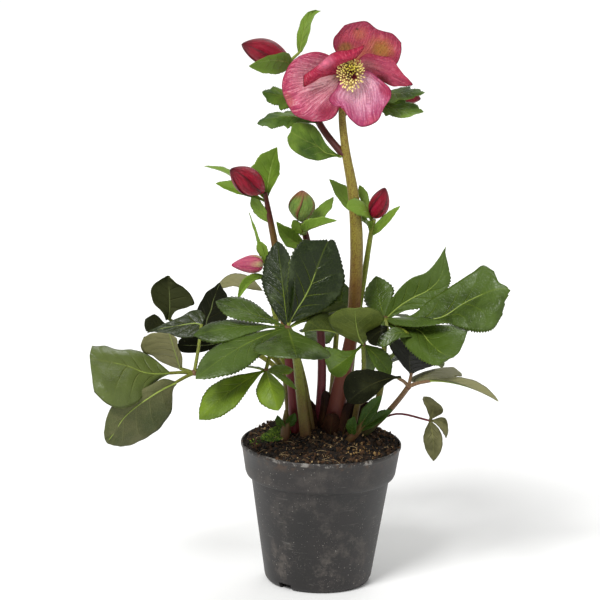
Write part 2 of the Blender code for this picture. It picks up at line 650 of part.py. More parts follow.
def disc(name, out_low, out_high, radius, top_radius=None, sides=14):
    """A round plate across the bloom's axis."""
    top_radius = radius if top_radius is None else top_radius
    return spike(name, bloom_point(0, 0, out_low), bloom_point(0, 0, out_high), radius, top_radius, sides)


def make_sepals():
    pieces = [disc("bloom_sepals", -RECEPTACLE_BACK, 0.6, RECEPTACLE_RADIUS),
              disc("bloom_dome", 0.0, RECEPTACLE_FRONT, RECEPTACLE_RADIUS - 2.0, STAMEN_RING)]
    for i, row in enumerate(SEPALS):
        pieces.append(blade(f"sepal_{i}", rows=6, cols=4, thick=SEPAL_THICK, **row))
    finish(fuse("bloom_sepals", pieces), "sepal_pink")


def make_stamens():
    draw = random.Random(7)
    floor = RECEPTACLE_FRONT + 0.3 + STAMEN_TUBE
    bpy.ops.mesh.primitive_torus_add(
        major_segments=12, minor_segments=4, major_radius=STAMEN_RING * MM, minor_radius=STAMEN_TUBE * MM,
        location=bloom_point(0, 0, floor) * MM,
        rotation=Vector(BLOOM_AXIS).to_track_quat("Z", "Y").to_euler(),
    )
    ring = bpy.context.object
    ring.name = "bloom_stamens"
    for owner in list(ring.users_collection):
        owner.objects.unlink(ring)
    PLANT.objects.link(ring)
    pieces = [to_mesh_object(ring)]
    golden = math.radians(137.5)
    for i in range(STAMEN_COUNT):
        angle = golden * i
        layer = (i + 0.5) / STAMEN_COUNT
        room = 1.0
        for side, share in CROWDED:
            room *= 1 - share * max(0.0, math.cos(angle - math.radians(side))) ** 2
        spread = (0.1 + 0.8 * layer) * room
        start = STAMEN_RING + (layer - 0.5) * STAMEN_TUBE
        length = STAMEN_LENGTH * draw.uniform(0.75, 1.15) * (0.6 + 0.4 * room)
        reach = start + length * math.sin(spread)
        foot = bloom_point(start * math.cos(angle), start * math.sin(angle), floor)
        head = bloom_point(reach * math.cos(angle), reach * math.sin(angle), floor + length * math.cos(spread))
        pieces.append(spike(f"stamen_{i}", foot, head, 0.35, 0.85))
    finish(fuse("bloom_stamens", pieces), "stamen_yellow")


def make_pistils():
    floor = RECEPTACLE_FRONT + 0.3
    pieces = [disc("bloom_pistils", floor, floor + 2.5, PISTIL_BASE, sides=8)]
    for i in range(PISTIL_COUNT):
        angle = math.tau * i / PISTIL_COUNT + 0.4
        foot = bloom_point(1.1 * math.cos(angle), 1.1 * math.sin(angle), floor + 1.5)
        head = bloom_point(2.2 * math.cos(angle), 2.2 * math.sin(angle), floor + 8.0)
        pieces.append(spike(f"pistil_{i}", foot, head, 1.2, 0.5, sides=4))
    finish(fuse("bloom_pistils", pieces), "pistil_maroon")


# The buds

BUDS = [
    # name, base, tip, radius, widest share, twist of the wrapped sepals in degrees
    ("bud_top", (-30, 12, 394), (-66, 8, 405.5), 9.2, 0.5, 40),
    ("bud_left", (-46.6, 3.6, 296.2), (-72, -6.4, 315), 9.6, 0.48, 40),
    ("bud_centre", (-18.3, -3.1, 275.6), (-19, -4, 300), 9.4, 0.5, 60),
    ("bud_right", (34.8, 4.2, 278.1), (42.2, 2.8, 302.1), 7.0, 0.42, 60),
    ("bud_low", (-46.3, 7.8, 240.9), (-70, 4, 240), 6.4, 0.3, 30),
    ("bud_behind", (47.3, 20.3, 368.4), (67, 20, 365.6), 5.2, 0.45, 40),
]
BUD_SEPALS = 5
BUD_RELIEF = 0.1


def make_bud(name, base, tip, radius, widest, twist):
    """Overlapping sepals wrapped round a drop shape: each one's free edge stands out from the next."""
    base, tip = Vector(base), Vector(tip)
    along = tip - base
    turn = along.to_track_quat("Z", "Y").to_matrix()
    power = math.log(0.5) / math.log(widest)
    shape = bmesh.new()
    bmesh.ops.create_uvsphere(shape, u_segments=15, v_segments=6, radius=1.0)
    for vertex in shape.verts:
        s = math.acos(max(-1.0, min(1.0, -vertex.co.z))) / math.pi
        angle = math.atan2(vertex.co.y, vertex.co.x)
        wrap = (angle / math.tau + math.radians(twist) * s / math.tau) * BUD_SEPALS % 1.0
        swell = math.sin(math.pi * s ** power) ** 0.75 if 0 < s < 1 else 0.0
        reach = radius * swell * (1 - BUD_RELIEF + 2 * BUD_RELIEF * wrap)
        where = Vector((reach * math.cos(angle), reach * math.sin(angle), along.length * s))
        vertex.co = (base + turn @ where) * MM
    mesh = bpy.data.meshes.new(name)
    shape.to_mesh(mesh)
    shape.free()
    return finish(add_object(name, mesh), "bud_crimson")


# Young shoots at the foot of the plant

SHOOTS = {
    "shoot_left": (
        [(-27, -7, 110), (-26.5, -7, 124), (-27, -8, 133)], [3.6, 3.6, 2.6, 1.0],
        [
            bract((-26, -7, 118), (-20, -12, 132), 9, (0.3, -1, 0.2), fold=24, teeth=0),
            bract((-27, -7, 116), (-33, -12, 130), 8, (-0.5, -1, 0.2), fold=24, teeth=0),
        ],
    ),
    "shoot_right": (
        [(22, -13, 111), (29, -16, 124), (37, -19, 138)], [3.0, 3.0, 2.2, 1.4],
        [
            bract((26, -15, 119), (44, -22, 150), 12, (-0.3, -1, 0.4), bow=2, fold=26, teeth=1),
            bract((25, -14, 118), (52, -18, 138), 10, (-0.3, -1, 0.4), bow=2, fold=26, teeth=1),
            bract((23, -14, 115), (24, -20, 133), 10, (-0.3, -1, 0.4), bow=2, fold=26, teeth=1),
        ],
    ),
}


def make_shoots():
    for name, (points, radii, bracts) in SHOOTS.items():
        flower_stem(name, points, radii, [], bracts, "bract_green")


# The pot and its soil

def turned(name, profile, steps):
    """A solid turned from (radius, height) points that start and end on the axis, outer side downwards."""
    mesh = bpy.data.meshes.new(name)
    points = [mm((radius, 0, height)) for radius, height in profile]
    mesh.from_pydata(points, [(i, i + 1) for i in range(len(points) - 1)], [])
    obj = add_object(name, mesh)
    screw = obj.modifiers.new("turn", "SCREW")
    screw.steps = screw.render_steps = steps
    screw.use_merge_vertices = True
    screw.merge_threshold = 0.00001
    return to_mesh_object(obj)


def inner_profile(inset):
    """The pot's inner side from its floor's middle to its brim, moved in by inset."""
    return [
        (0, POT_WALL + inset), (FOOT_RADIUS - 5.6 - inset, POT_WALL + inset), (FOOT_RADIUS - 1.9 - inset, 5.6),
        (50.0 - inset, COLLAR_BOTTOM - 2.6), (53.6 - inset, COLLAR_BOTTOM + inset),
    ]


def make_pot():
    outer = [
        (POT_RADIUS - 1.2, POT_HEIGHT), (POT_RADIUS, POT_HEIGHT - 0.8),
        (POT_RADIUS, POT_HEIGHT - 2.4), (POT_RADIUS - 0.8, POT_HEIGHT - 3.4), (56.2, COLLAR_BOTTOM + 2.0),
        (55.2, COLLAR_BOTTOM - 0.4), (52.4, COLLAR_BOTTOM - 1.6), (51.6, COLLAR_BOTTOM - 3.4),
        (FOOT_RADIUS + 0.6, 8.0), (FOOT_RADIUS - 0.4, 3.0), (FOOT_RADIUS - 4.0, 0), (0, 0),
    ]
    inner = [*inner_profile(0.0), (POT_RADIUS - 1.7, POT_HEIGHT - 2.4)]
    pot = turned("pot", inner + outer, TURN_STEPS)
    for i, angle in enumerate(NOTCH_ANGLES):
        along = math.radians(angle)
        turn = Matrix.Rotation(along, 4, "Z") @ Matrix.Translation(mm((FOOT_RADIUS - 1.0, 0, 0)))
        shape = bmesh.new()
        bmesh.ops.create_cube(shape, size=1.0)
        bmesh.ops.scale(shape, vec=mm((NOTCH_SIZE[0], NOTCH_SIZE[1], NOTCH_SIZE[2] * 2)), verts=shape.verts)
        bmesh.ops.transform(shape, matrix=turn, verts=shape.verts)
        cut(pot, f"notch_{i}", shape)
    for i in range(DRAIN_COUNT):
        along = math.tau * i / DRAIN_COUNT + 0.14
        place = Matrix.Translation(mm((DRAIN_CIRCLE * math.cos(along), DRAIN_CIRCLE * math.sin(along), 0)))
        shape = bmesh.new()
        bmesh.ops.create_cone(shape, cap_ends=True, segments=8, radius1=DRAIN_RADIUS * MM,
                              radius2=DRAIN_RADIUS * MM, depth=10 * MM, matrix=place)
        cut(pot, f"drain_{i}", shape)
    finish(pot, "pot_plastic")


def cut(obj, name, shape):
    mesh = bpy.data.meshes.new(name)
    shape.to_mesh(mesh)
    shape.free()
    cutter = make_cutter(add_object(name, mesh, CUTTERS))
    add_cut(obj, cutter)


def add_cut(obj, cutter):
    hole = obj.modifiers.new(cutter.name, "BOOLEAN")
    hole.operation = "DIFFERENCE"
    hole.solver = "EXACT"
    hole.object = cutter


def make_soil():
    brim = POT_RADIUS - 3.0
    surface = [(brim * share, SOIL_EDGE) for share in (0.0, 0.22, 0.44, 0.64, 0.82, 1.0)]
    soil = turned("soil", [*surface, *reversed(inner_profile(FIT_GAP))], SOIL_TURN_STEPS)
    for vertex in soil.data.vertices:
        if abs(vertex.co.z - SOIL_EDGE * MM) < 1e-5:
            vertex.co.z = soil_height(vertex.co.x / MM, vertex.co.y / MM) * MM
    for i, (pairs, sides) in enumerate(PLANTED):
        (root, wide), foot, above = pairs[:3]
        deeper = root - (foot[0] - root).normalized() * FIT_GAP
        hole = [(deeper, wide + FIT_GAP), *((place, radius + FIT_GAP) for place, radius in (foot, above))]
        add_cut(soil, make_cutter(tube(f"hole_{i}", hole, sides, CUTTERS)))
    finish(soil, "soil", 30.0)


def main():
    make_leaves()
    make_flower_stems()
    make_sepals()
    make_stamens()
    make_pistils()
    for row in BUDS:
        make_bud(*row)
    make_shoots()
    make_pot()
    make_soil()


main()
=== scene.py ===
# A hellebore plant in its nursery pot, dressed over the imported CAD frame.
# Tables are in millimetres, in the frame's own axes: x to the right, y to the back, z up.
import json
import math

import bmesh
import bpy
from mathutils import Matrix, Quaternion, Vector, noise

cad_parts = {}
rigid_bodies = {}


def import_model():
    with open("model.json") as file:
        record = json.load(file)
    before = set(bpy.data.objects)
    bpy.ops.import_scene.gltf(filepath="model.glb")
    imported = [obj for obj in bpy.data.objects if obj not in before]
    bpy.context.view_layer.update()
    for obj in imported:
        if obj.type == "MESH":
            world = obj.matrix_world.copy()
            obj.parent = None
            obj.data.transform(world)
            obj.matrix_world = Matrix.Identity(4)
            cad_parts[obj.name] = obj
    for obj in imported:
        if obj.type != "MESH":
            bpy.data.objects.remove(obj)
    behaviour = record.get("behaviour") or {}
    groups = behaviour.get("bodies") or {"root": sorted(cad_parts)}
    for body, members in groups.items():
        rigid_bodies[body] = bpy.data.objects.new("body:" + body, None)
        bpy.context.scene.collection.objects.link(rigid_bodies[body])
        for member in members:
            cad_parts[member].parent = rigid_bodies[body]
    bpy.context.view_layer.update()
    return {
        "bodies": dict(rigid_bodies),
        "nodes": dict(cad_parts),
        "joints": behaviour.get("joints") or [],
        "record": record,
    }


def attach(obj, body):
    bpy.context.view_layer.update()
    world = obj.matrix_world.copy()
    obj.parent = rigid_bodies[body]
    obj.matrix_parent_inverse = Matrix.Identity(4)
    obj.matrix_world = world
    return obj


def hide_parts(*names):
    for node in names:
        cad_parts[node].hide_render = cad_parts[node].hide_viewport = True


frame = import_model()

mm = 0.001


def shade(red, green, blue):  # a display colour, 0 to 255, as the linear colour that a shader takes
    return tuple(((c / 255 + 0.055) / 1.055) ** 2.4 for c in (red, green, blue))


# Node trees, written as Python expressions

class Wire:  # an output socket that reads like a number, a vector or a colour
    def __init__(self, graph, socket):
        self.graph, self.socket = graph, socket

    def __getitem__(self, name):  # another output of the same node
        return Wire(self.graph, next(s for s in self.socket.node.outputs if s.name == name and s.enabled))


def operated(operation, swapped):
    return lambda self, other: self.graph.maths(operation, *((other, self) if swapped else (self, other)))


signs = {"add": "ADD", "sub": "SUBTRACT", "mul": "MULTIPLY", "truediv": "DIVIDE", "pow": "POWER"}
for sign, operation in signs.items():
    setattr(Wire, f"__{sign}__", operated(operation, False))
    setattr(Wire, f"__r{sign}__", operated(operation, True))


def isVector(value):
    if isinstance(value, Wire):
        return value.socket.type in ("VECTOR", "RGBA")
    return isinstance(value, (tuple, Vector))


def setStops(ramp, stops):  # the colours of a ramp, each with its place from 0 to 1
    while len(ramp.elements) < len(stops):
        ramp.elements.new(0.5)
    for element, (where, colour) in zip(ramp.elements, stops):
        element.position, element.color = where, (*colour, 1.0)


class Graph:
    def __init__(self, tree):
        self.tree = tree

    def add(self, kind, *values, **named):  # the first value may be a dictionary of the node's own settings
        kinds = (family + kind for family in ("ShaderNode", "GeometryNode", "FunctionNode"))
        node = self.tree.nodes.new(next(k for k in kinds if hasattr(bpy.types, k)))
        settings = {}
        if values and isinstance(values[0], dict):
            settings, *values = values
        for key, value in settings.items():
            if key == "stops":
                setStops(node.color_ramp, value)
            else:
                setattr(node, key, value)
        places = [s for s in node.inputs if s.enabled]
        for place, value in zip(places, values):
            self.put(place, value)
        for name, value in named.items():
            self.put(next(s for s in places if s.name.replace(" ", "") == name), value)
        return Wire(self, next(s for s in node.outputs if s.enabled))

    def put(self, place, value):
        if isinstance(value, list):
            for one in value:
                self.put(place, one)
        elif isinstance(value, Wire):
            self.tree.links.new(value.socket, place)
        elif value is not None:
            if place.type == "VECTOR" and isinstance(value, (int, float)):
                value = (value,) * 3
            if place.type == "RGBA" and len(value) == 3:
                value = (*value, 1.0)
            place.default_value = value

    def maths(self, operation, first, second=None, third=None):
        vectors = [v for v in (first, second) if isVector(v)]
        if not vectors:
            return self.add("Math", {"operation": operation}, first, second, third)
        if operation == "MULTIPLY" and len(vectors) == 1:
            scale = second if vectors[0] is first else first
            return self.add("VectorMath", {"operation": "SCALE"}, Vector=vectors[0], Scale=scale)
        return self.add("VectorMath", {"operation": operation}, first, second)

    def ranged(self, value, low, high, toLow=0.0, toHigh=1.0, smooth=True):
        kind = "SMOOTHSTEP" if smooth else "LINEAR"
        return self.add("MapRange", {"interpolation_type": kind}, value, low, high, toLow, toHigh)

    def mix(self, factor, first, second):
        kind = "RGBA" if isVector(first) else "FLOAT"
        return self.add("Mix", {"data_type": kind}, factor, first, second)

    def speckle(self, where, scale, detail=2.0, roughness=0.5, distortion=0.0):
        return self.add("TexNoise", Vector=where, Scale=scale, Detail=detail, Roughness=roughness,
                        Distortion=distortion)

    def cells(self, where, scale, feature="F1", randomness=1.0):
        return self.add("TexVoronoi", {"feature": feature}, Vector=where, Scale=scale, Randomness=randomness)


def geometryGraph(name, sizes):  # a tree with named inputs, and a dictionary of their wires
    tree = bpy.data.node_groups.new(name, "GeometryNodeTree")
    kinds = {float: "NodeSocketFloat", int: "NodeSocketInt", tuple: "NodeSocketVector",
             type(None): "NodeSocketMaterial"}
    tree.interface.new_socket("Geometry", in_out="OUTPUT", socket_type="NodeSocketGeometry")
    tree.interface.new_socket("Geometry", in_out="INPUT", socket_type="NodeSocketGeometry")
    for label, value in sizes.items():
        socket = tree.interface.new_socket(label, in_out="INPUT", socket_type=kinds[type(value)])
        if value is not None:
            socket.default_value = value
    graph = Graph(tree)
    group = tree.nodes.new("NodeGroupInput")
    given = {s.name: Wire(graph, s) for s in group.outputs if s.name}
    return graph, given


def closeGraph(graph, geometry):
    graph.put(graph.tree.nodes.new("NodeGroupOutput").inputs[0], geometry)
    return graph.tree


def bake(obj):  # the evaluated shape as a plain mesh, in the same object
    bpy.context.view_layer.update()
    deps = bpy.context.evaluated_depsgraph_get()
    mesh = bpy.data.meshes.new_from_object(obj.evaluated_get(deps), preserve_all_data_layers=True,
                                           depsgraph=deps)
    obj.modifiers.clear()
    obj.data = mesh
    return obj


def newObject(name, mesh):
    obj = bpy.data.objects.new(name, mesh)
    bpy.context.scene.collection.objects.link(obj)
    return obj


def meshOf(name, shape, *skins, smooth=True):  # a shape that is ready, as a mesh with its materials
    mesh = bpy.data.meshes.new(name)
    shape.to_mesh(mesh)
    shape.free()
    if smooth:
        mesh.shade_smooth()
    for skin in skins:
        mesh.materials.append(skin)
    return mesh


def grow(name, tree, values, mesh=None):  # runs a tree and keeps its result
    obj = newObject(name, mesh or bpy.data.meshes.new(name))
    modifier = obj.modifiers.new("shape", "NODES")
    modifier.node_group = tree
    for item in tree.interface.items_tree:
        if item.in_out == "INPUT" and item.name in values:
            modifier[item.identifier] = values[item.name]
    return bake(obj)


def joined(name, parts):
    first = parts[0]
    if len(parts) > 1:
        with bpy.context.temp_override(active_object=first, object=first, selected_objects=parts,
                                       selected_editable_objects=parts):
            bpy.ops.object.join()
    first.name = first.data.name = name
    return first


def dress(piece, nodes, slotName):  # a finished piece takes the place of its CAD nodes
    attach(piece, "root")
    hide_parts(*nodes)
    return piece


# Materials

def newMaterial(name, rough=0.5, shine=0.5):
    material = bpy.data.materials.new(name)
    material.use_nodes = True
    graph = Graph(material.node_tree)
    slots = material.node_tree.nodes["Principled BSDF"].inputs
    slots["Roughness"].default_value, slots["Specular IOR Level"].default_value = rough, shine
    return material, graph, slots, graph.add("TexCoord")["Object"]


def bumped(graph, height, strength, distance, previous=None):
    return graph.add("Bump", Strength=strength, Distance=distance, Height=height, Normal=previous)


leafFinish = {
    "laterals": 6.0,        # side veins on each half of a leaflet
    "lean": 0.30,           # how far they run forward, as a share of the blade
    "midrib": 0.05,         # width of the pale line over the midrib
    "net": 420.0,           # fine vein net, cells per metre
}
# The first colour is dust on the leaves; the second is a painted sheen, pale patches that stand in for glossy
# highlights.
leafDust, leafSheenTint = (128, 132, 92), (138, 156, 108)


def blade2d(graph):  # on a blade's own map: across, from -1 to 1, its distance from the midrib, and along
    split = graph.add("SeparateXYZ", graph.add("UVMap", {"uv_map": "UVMap"}))
    across = split["X"] * 2 - 1
    return across, graph.maths("ABSOLUTE", across), split["Y"]


def sideVeins(graph, where, out, along, sharp):
    wander = graph.speckle(where, 60.0, 3.0) - 0.5
    out, along = out + wander * 0.1, along + wander * 0.05
    phase = (along - out * (1.25 - out * 0.45) * leafFinish["lean"]) * leafFinish["laterals"]
    fold = graph.maths("ABSOLUTE", graph.maths("FRACT", phase) - 0.5) * 2
    return graph.ranged(fold, 1 - sharp, 1.0)


def leafMaterial(name, deep, light, vein, gloss=0.34, dust=0.15, shine=0.2, wax=0.0):
    material, graph, slots, where = newMaterial(name, 0.5, shine)
    _, out, along = blade2d(graph)
    tone = graph.add("Attribute", {"attribute_name": "tone"})["Fac"]
    cloud = graph.speckle(where, 28.0, 4.0, 0.6)
    base = graph.mix(graph.ranged(cloud + (tone - 0.5) * 0.8, 0.34, 0.68), shade(*deep), shade(*light))
    # Painted sheen: pale grey-green patches in the colour stand in for glossy highlights.
    paintedSheen = graph.ranged(graph.speckle(where, 42.0, 5.0, 0.7), 0.52, 0.7) * wax
    base = graph.mix(paintedSheen, base, shade(*leafSheenTint))
    side = sideVeins(graph, where, out, along, 0.16)
    side = side * graph.ranged(out, 0.9, 0.1) * graph.ranged(along, 0.85, 0.3)
    rib = graph.ranged(out, leafFinish["midrib"], 0.0) * graph.ranged(along, 0.6, 0.2, 0.2, 1.0)
    netLine = graph.ranged(graph.cells(where, leafFinish["net"], "DISTANCE_TO_EDGE"), 0.1, 0.0)
    colour = base
    for cover in (side * 0.36 + netLine * 0.03, rib * 0.75, graph.ranged(out, 0.96, 1.0) * 0.3):
        colour = graph.mix(cover, colour, shade(*vein))
    dusty = graph.ranged(graph.speckle(where, 190.0, 5.0, 0.7), 0.6, 0.78) * dust
    dusty = dusty + graph.ranged(graph.cells(where, 300.0), 0.1, 0.04) * graph.ranged(cloud, 0.45, 0.6) * 0.5
    graph.put(slots["Base Color"], graph.mix(dusty, colour, shade(*leafDust)))
    graph.put(slots["Roughness"], graph.ranged(cloud, 0.3, 0.7, gloss - 0.05, gloss + 0.1) + dusty * 0.3)
    relief = bumped(graph, graph.speckle(where, 500.0, 4.0) - netLine * 0.5, 0.35, 0.0005)
    graph.put(slots["Normal"], bumped(graph, side * -1.0 + cloud, 0.7, 0.0014, relief))
    return material


def undersideMaterial(name, pale, blush, vein):
    material, graph, slots, where = newMaterial(name, 0.6, 0.25)
    _, out, along = blade2d(graph)
    cloud = graph.ranged(graph.speckle(where, 40.0, 4.0, 0.6), 0.35, 0.7)
    base = graph.mix(cloud, shade(*pale), shade(*blush))
    side = sideVeins(graph, where, out, along, 0.12) * graph.ranged(out, 0.95, 0.2)
    netLine = graph.ranged(graph.cells(where, leafFinish["net"], "DISTANCE_TO_EDGE"), 0.12, 0.0)
    graph.put(slots["Base Color"], graph.mix(side * 0.4 + netLine * 0.2, base, shade(*vein)))
    graph.put(slots["Normal"], bumped(graph, side + netLine * 0.5, 0.5, 0.0005))
    return material


def stemMaterial(name, low, middle, high, lowZ, highZ, speck):
    material, graph, slots, where = newMaterial(name, 0.5, 0.3)
    height = graph.add("SeparateXYZ", where)["Z"]
    blotch = graph.speckle(where, 90.0, 4.0, 0.6)
    climb = graph.ranged(height + (blotch - 0.5) * 0.05, lowZ, highZ, 0.0, 1.0, False)
    stops = [(0.0, shade(*low)), (0.5, shade(*middle)), (1.0, shade(*high))]
    fine = graph.speckle(where, 1100.0, 2.0, 0.7)
    long = graph.speckle(where * (1.0, 1.0, 0.12), 700.0, 2.0)
    colour = graph.add("ValToRGB", {"stops": stops}, climb)
    colour = graph.mix(graph.ranged(fine, 0.5, 0.62) * 0.75, colour, shade(*speck))
    graph.put(slots["Base Color"], graph.mix(graph.ranged(long, 0.5, 0.75) * 0.35, colour, shade(*speck)))
    graph.put(slots["Normal"], bumped(graph, long + fine * 0.4, 0.4, 0.0004))
    return material


def sepalMaterial(name, margin, middle, throat, vein, paleReach=0.8, veined=0.5, patches=(), gloss=0.5,
                  streak=(246, 226, 228)):  # patches are (place in mm, reach in mm, colour, strength)
    material, graph, slots, where = newMaterial(name, gloss, 0.3)
    across, out, along = blade2d(graph)
    margin, middle, throat, vein, streak = (shade(*c) for c in (margin, middle, throat, vein, streak))
    cloud = graph.speckle(where, 60.0, 4.0, 0.65)
    wander = graph.speckle(where, 140.0, 3.0) - 0.5
    reach = graph.maths("SQRT", out * out * 0.6 + along * along)
    colour = graph.mix(graph.ranged(reach + wander * 0.3, 0.1, paleReach), throat, middle)
    rim = graph.maths("MAXIMUM", graph.ranged(out + wander * 0.3, 0.6, 1.0),
                      graph.ranged(along + wander * 0.2, 0.72, 1.0))
    colour = graph.mix(rim * 0.8, colour, margin)
    fan = graph.add("CombineXYZ", across * 11.0 + wander * 0.6, along * 0.9, 0.0)
    fine = graph.speckle(fan, 3.2, 6.0, 0.66, 0.5)
    rough = graph.speckle(where, 620.0, 3.0, 0.7)
    veins = graph.ranged(fine + (rough - 0.5) * 0.35, 0.5, 0.64)
    colour = graph.mix(veins * veined, colour, vein)
    pale = graph.ranged(fine + (rough - 0.5) * 0.5, 0.47, 0.3)
    colour = graph.mix(pale * (veined * 0.65), colour, graph.mix(0.45, throat, streak))
    for place, size, tint, strength in patches:
        away = graph.maths("LENGTH", where - tuple(v * mm for v in place))
        patch = graph.ranged(away + (cloud - 0.5) * (size * mm * 1.2), size * mm, size * mm * 0.25)
        colour = graph.mix(patch * strength, colour, shade(*tint))
    line = graph.maths("MAXIMUM", graph.ranged(out, 0.955, 1.0), graph.ranged(along, 0.965, 1.0))
    graph.put(slots["Base Color"], graph.mix(line * 0.75, colour, tuple(c * 0.4 for c in margin)))
    slots["Subsurface Weight"].default_value, slots["Subsurface Scale"].default_value = 0.1, 0.002
    graph.put(slots["Normal"], bumped(graph, veins * 0.8 + cloud + fine + rough * 0.5, 0.7, 0.0008))
    return material


def plainMaterial(name, first, second, scale, rough=0.6, grain=0.0003, attribute=None):
    material, graph, slots, where = newMaterial(name, rough)
    cloud = graph.speckle(where, scale, 4.0, 0.65)
    if attribute:
        cloud = cloud * 0.4 + graph.add("Attribute", {"attribute_name": attribute})["Fac"] * 0.6
    graph.put(slots["Base Color"], graph.mix(graph.ranged(cloud, 0.3, 0.7), shade(*first), shade(*second)))
    graph.put(slots["Normal"], bumped(graph, graph.speckle(where, scale * 4, 3.0), 0.5, grain))
    return material


skins = [
    (leafMaterial, {
        # leafDark's last value is the strength of its painted sheen.
        "leafDark": ("leafDark", (22, 34, 4), (68, 88, 30), (136, 156, 52), 0.28, 0.1, 0.24, 0.12),
        "leafFresh": ("leafFresh", (68, 90, 24), (108, 132, 30), (160, 176, 62), 0.4),
        "leafDusky": ("leafDusky", (38, 48, 18), (84, 96, 46), (124, 130, 56), 0.32, 0.25, 0.26),
        # A darker copy of the leaf skin: painted shade for leaflets that sit in shadow among the others.
        "leafShade": ("leafShade", (20, 22, 10), (54, 58, 32), (84, 84, 44), 0.6, 0.1, 0.06),
        "leafGrey": ("leafGrey", (66, 66, 38), (122, 120, 82), (140, 142, 80), 0.55, 0.2, 0.12),
        "sheath": ("crownSheath", (30, 14, 10), (84, 50, 32), (92, 84, 40), 0.6, 0.2, 0.1),
        "bract": ("bractGreen", (46, 72, 18), (108, 136, 46), (168, 176, 84), 0.44, 0.04),
    }),
    (undersideMaterial, {
        "under": ("leafUnderside", (60, 74, 18), (88, 100, 36), (122, 130, 56)),
        "underDusky": ("duskyUnderside", (70, 78, 42), (98, 98, 62), (116, 118, 72)),
        "bractUnder": ("bractUnderside", (92, 116, 26), (128, 146, 44), (166, 174, 74)),
    }),
    (stemMaterial, {
        # The main stem's foot is red-brown, darkened further as painted shade under the leaves.
        "stem": ("stemSkin", (70, 16, 22), (114, 60, 34), (134, 122, 48), 0.12, 0.262, (84, 40, 18)),
        "stemLeft": ("stemLeft", (100, 22, 32), (124, 112, 46), (72, 22, 18), 0.17, 0.285, (84, 40, 18)),
        "stemGreen": ("stemGreen", (92, 56, 40), (104, 104, 36), (122, 134, 44), 0.11, 0.19, (74, 60, 30)),
        "stemDusk": ("stemDusk", (62, 72, 34), (112, 88, 62), (122, 96, 66), 0.115, 0.165, (78, 52, 40)),
        "stemPurple": ("stemPurple", (110, 42, 52), (92, 36, 38), (78, 34, 26), 0.13, 0.25, (62, 26, 28)),
    }),
    (sepalMaterial, {
        # Most patches are the sepals' own colour; the ones marked below are painted shadow.
        "sepalPale": ("sepalPale", (168, 34, 76), (190, 84, 114), (218, 168, 170), (156, 40, 80), 0.95, 0.6, [
            ((8, -15, 389), 11, (128, 74, 54), 0.8), ((-32, -16, 368), 8, (170, 96, 84), 0.6),
            # Painted shadow: this last patch darkens the sepal where the lower sepal meets it.
            ((-5, -14, 362), 9, (142, 16, 54), 0.8)]),
        "sepalBlush": ("sepalBlush", (160, 34, 84), (188, 96, 134), (222, 178, 190), (164, 62, 104), 1.1, 0.5, [
            # Painted shadow: the patch at (41, -19, 380) lies under the right sepal, and the one at (2, -20,
            # 372) is where the left sepal meets this one.
            ((33, -21, 356), 10, (190, 80, 98), 0.7), ((41, -19, 380), 9, (156, 30, 68), 0.75),
            ((2, -20, 372), 6, (160, 36, 78), 0.6)]),
        "sepalMauve": ("sepalMauve", (158, 30, 62), (178, 66, 94), (186, 116, 116), (140, 34, 66), 0.7, 0.35, [
            # Painted shadow: this dark patch is the shade in the fold between this sepal and the lower one.
            ((38, -12, 385), 9, (98, 6, 24), 0.95)]),
        "sepalOlive": ("sepalOlive", (142, 34, 70), (184, 72, 92), (176, 108, 66), (160, 56, 78), 0.7, 0.3, [
            ((10, -12, 408), 8, (150, 112, 52), 0.8), ((36, -12, 409), 13, (164, 118, 46), 0.85),
            ((20, -14, 419), 8, (176, 100, 64), 0.6), ((18.3, -14.5, 423), 1.6, (70, 34, 26), 0.95)]),
        "sepalBack": ("sepalBack", (150, 14, 46), (176, 32, 70), (190, 60, 90), (128, 12, 44), 0.8, 0.35, [
            ((-4, -28, 401), 9, (216, 112, 140), 0.7)]),
        "bud": ("budCrimson", (64, 1, 16), (142, 2, 36), (164, 16, 52), (70, 2, 18), 0.7, 0.45, [], 0.36,
                (140, 20, 40)),
        "budGreen": ("budGreen", (150, 60, 64), (106, 132, 52), (140, 158, 84), (84, 110, 44), 0.6, 0.3, [],
                     0.5, (150, 168, 90)),
        "budPale": ("budPale", (186, 40, 96), (204, 92, 122), (214, 192, 138), (176, 54, 92), 0.5, 0.4, [],
                    0.5, (222, 190, 160)),
    }),
    (plainMaterial, {
        "rib": ("ribGreen", (118, 138, 50), (146, 162, 70), 90.0, 0.5),
        "ribDusky": ("ribDusky", (78, 88, 40), (100, 110, 56), 90.0, 0.5),
        "knot": ("leafKnot", (78, 40, 32), (112, 84, 48), 260.0, 0.6),
        "stamen": ("stamenYellow", (206, 190, 66), (244, 226, 146), 900.0, 0.6, 0.0002, "tint"),
        "filament": ("filamentCream", (196, 172, 96), (226, 206, 150), 900.0, 0.5, 0.0001),
        "pistil": ("pistilMaroon", (70, 8, 20), (120, 26, 40), 600.0, 0.45),
        "moss": ("mossGreen", (34, 70, 8), (120, 148, 38), 300.0, 0.8, 0.0003, "tint"),
        "soil": ("darkSoil", (10, 6, 2), (42, 28, 15), 260.0, 0.95, 0.001),
        "crumb": ("soilCrumb", (14, 8, 3), (72, 48, 26), 500.0, 0.95, 0.0004, "tint"),
        "paleBit": ("paleBit", (112, 86, 54), (178, 150, 106), 500.0, 0.8, 0.0003, "tint"),
        "tan": ("tanCrumb", (122, 92, 50), (170, 136, 84), 500.0, 0.85, 0.0003, "tint"),
        "fibre": ("rootFibre", (96, 70, 44), (176, 150, 108), 400.0, 0.8, 0.0003, "tint"),
    }),
]
palette = {key: make(*values) for make, rows in skins for key, values in rows.items()}
print("materials ready")


# Blades: a leaflet or a bract with no drawn lines is one tree with its own sizes

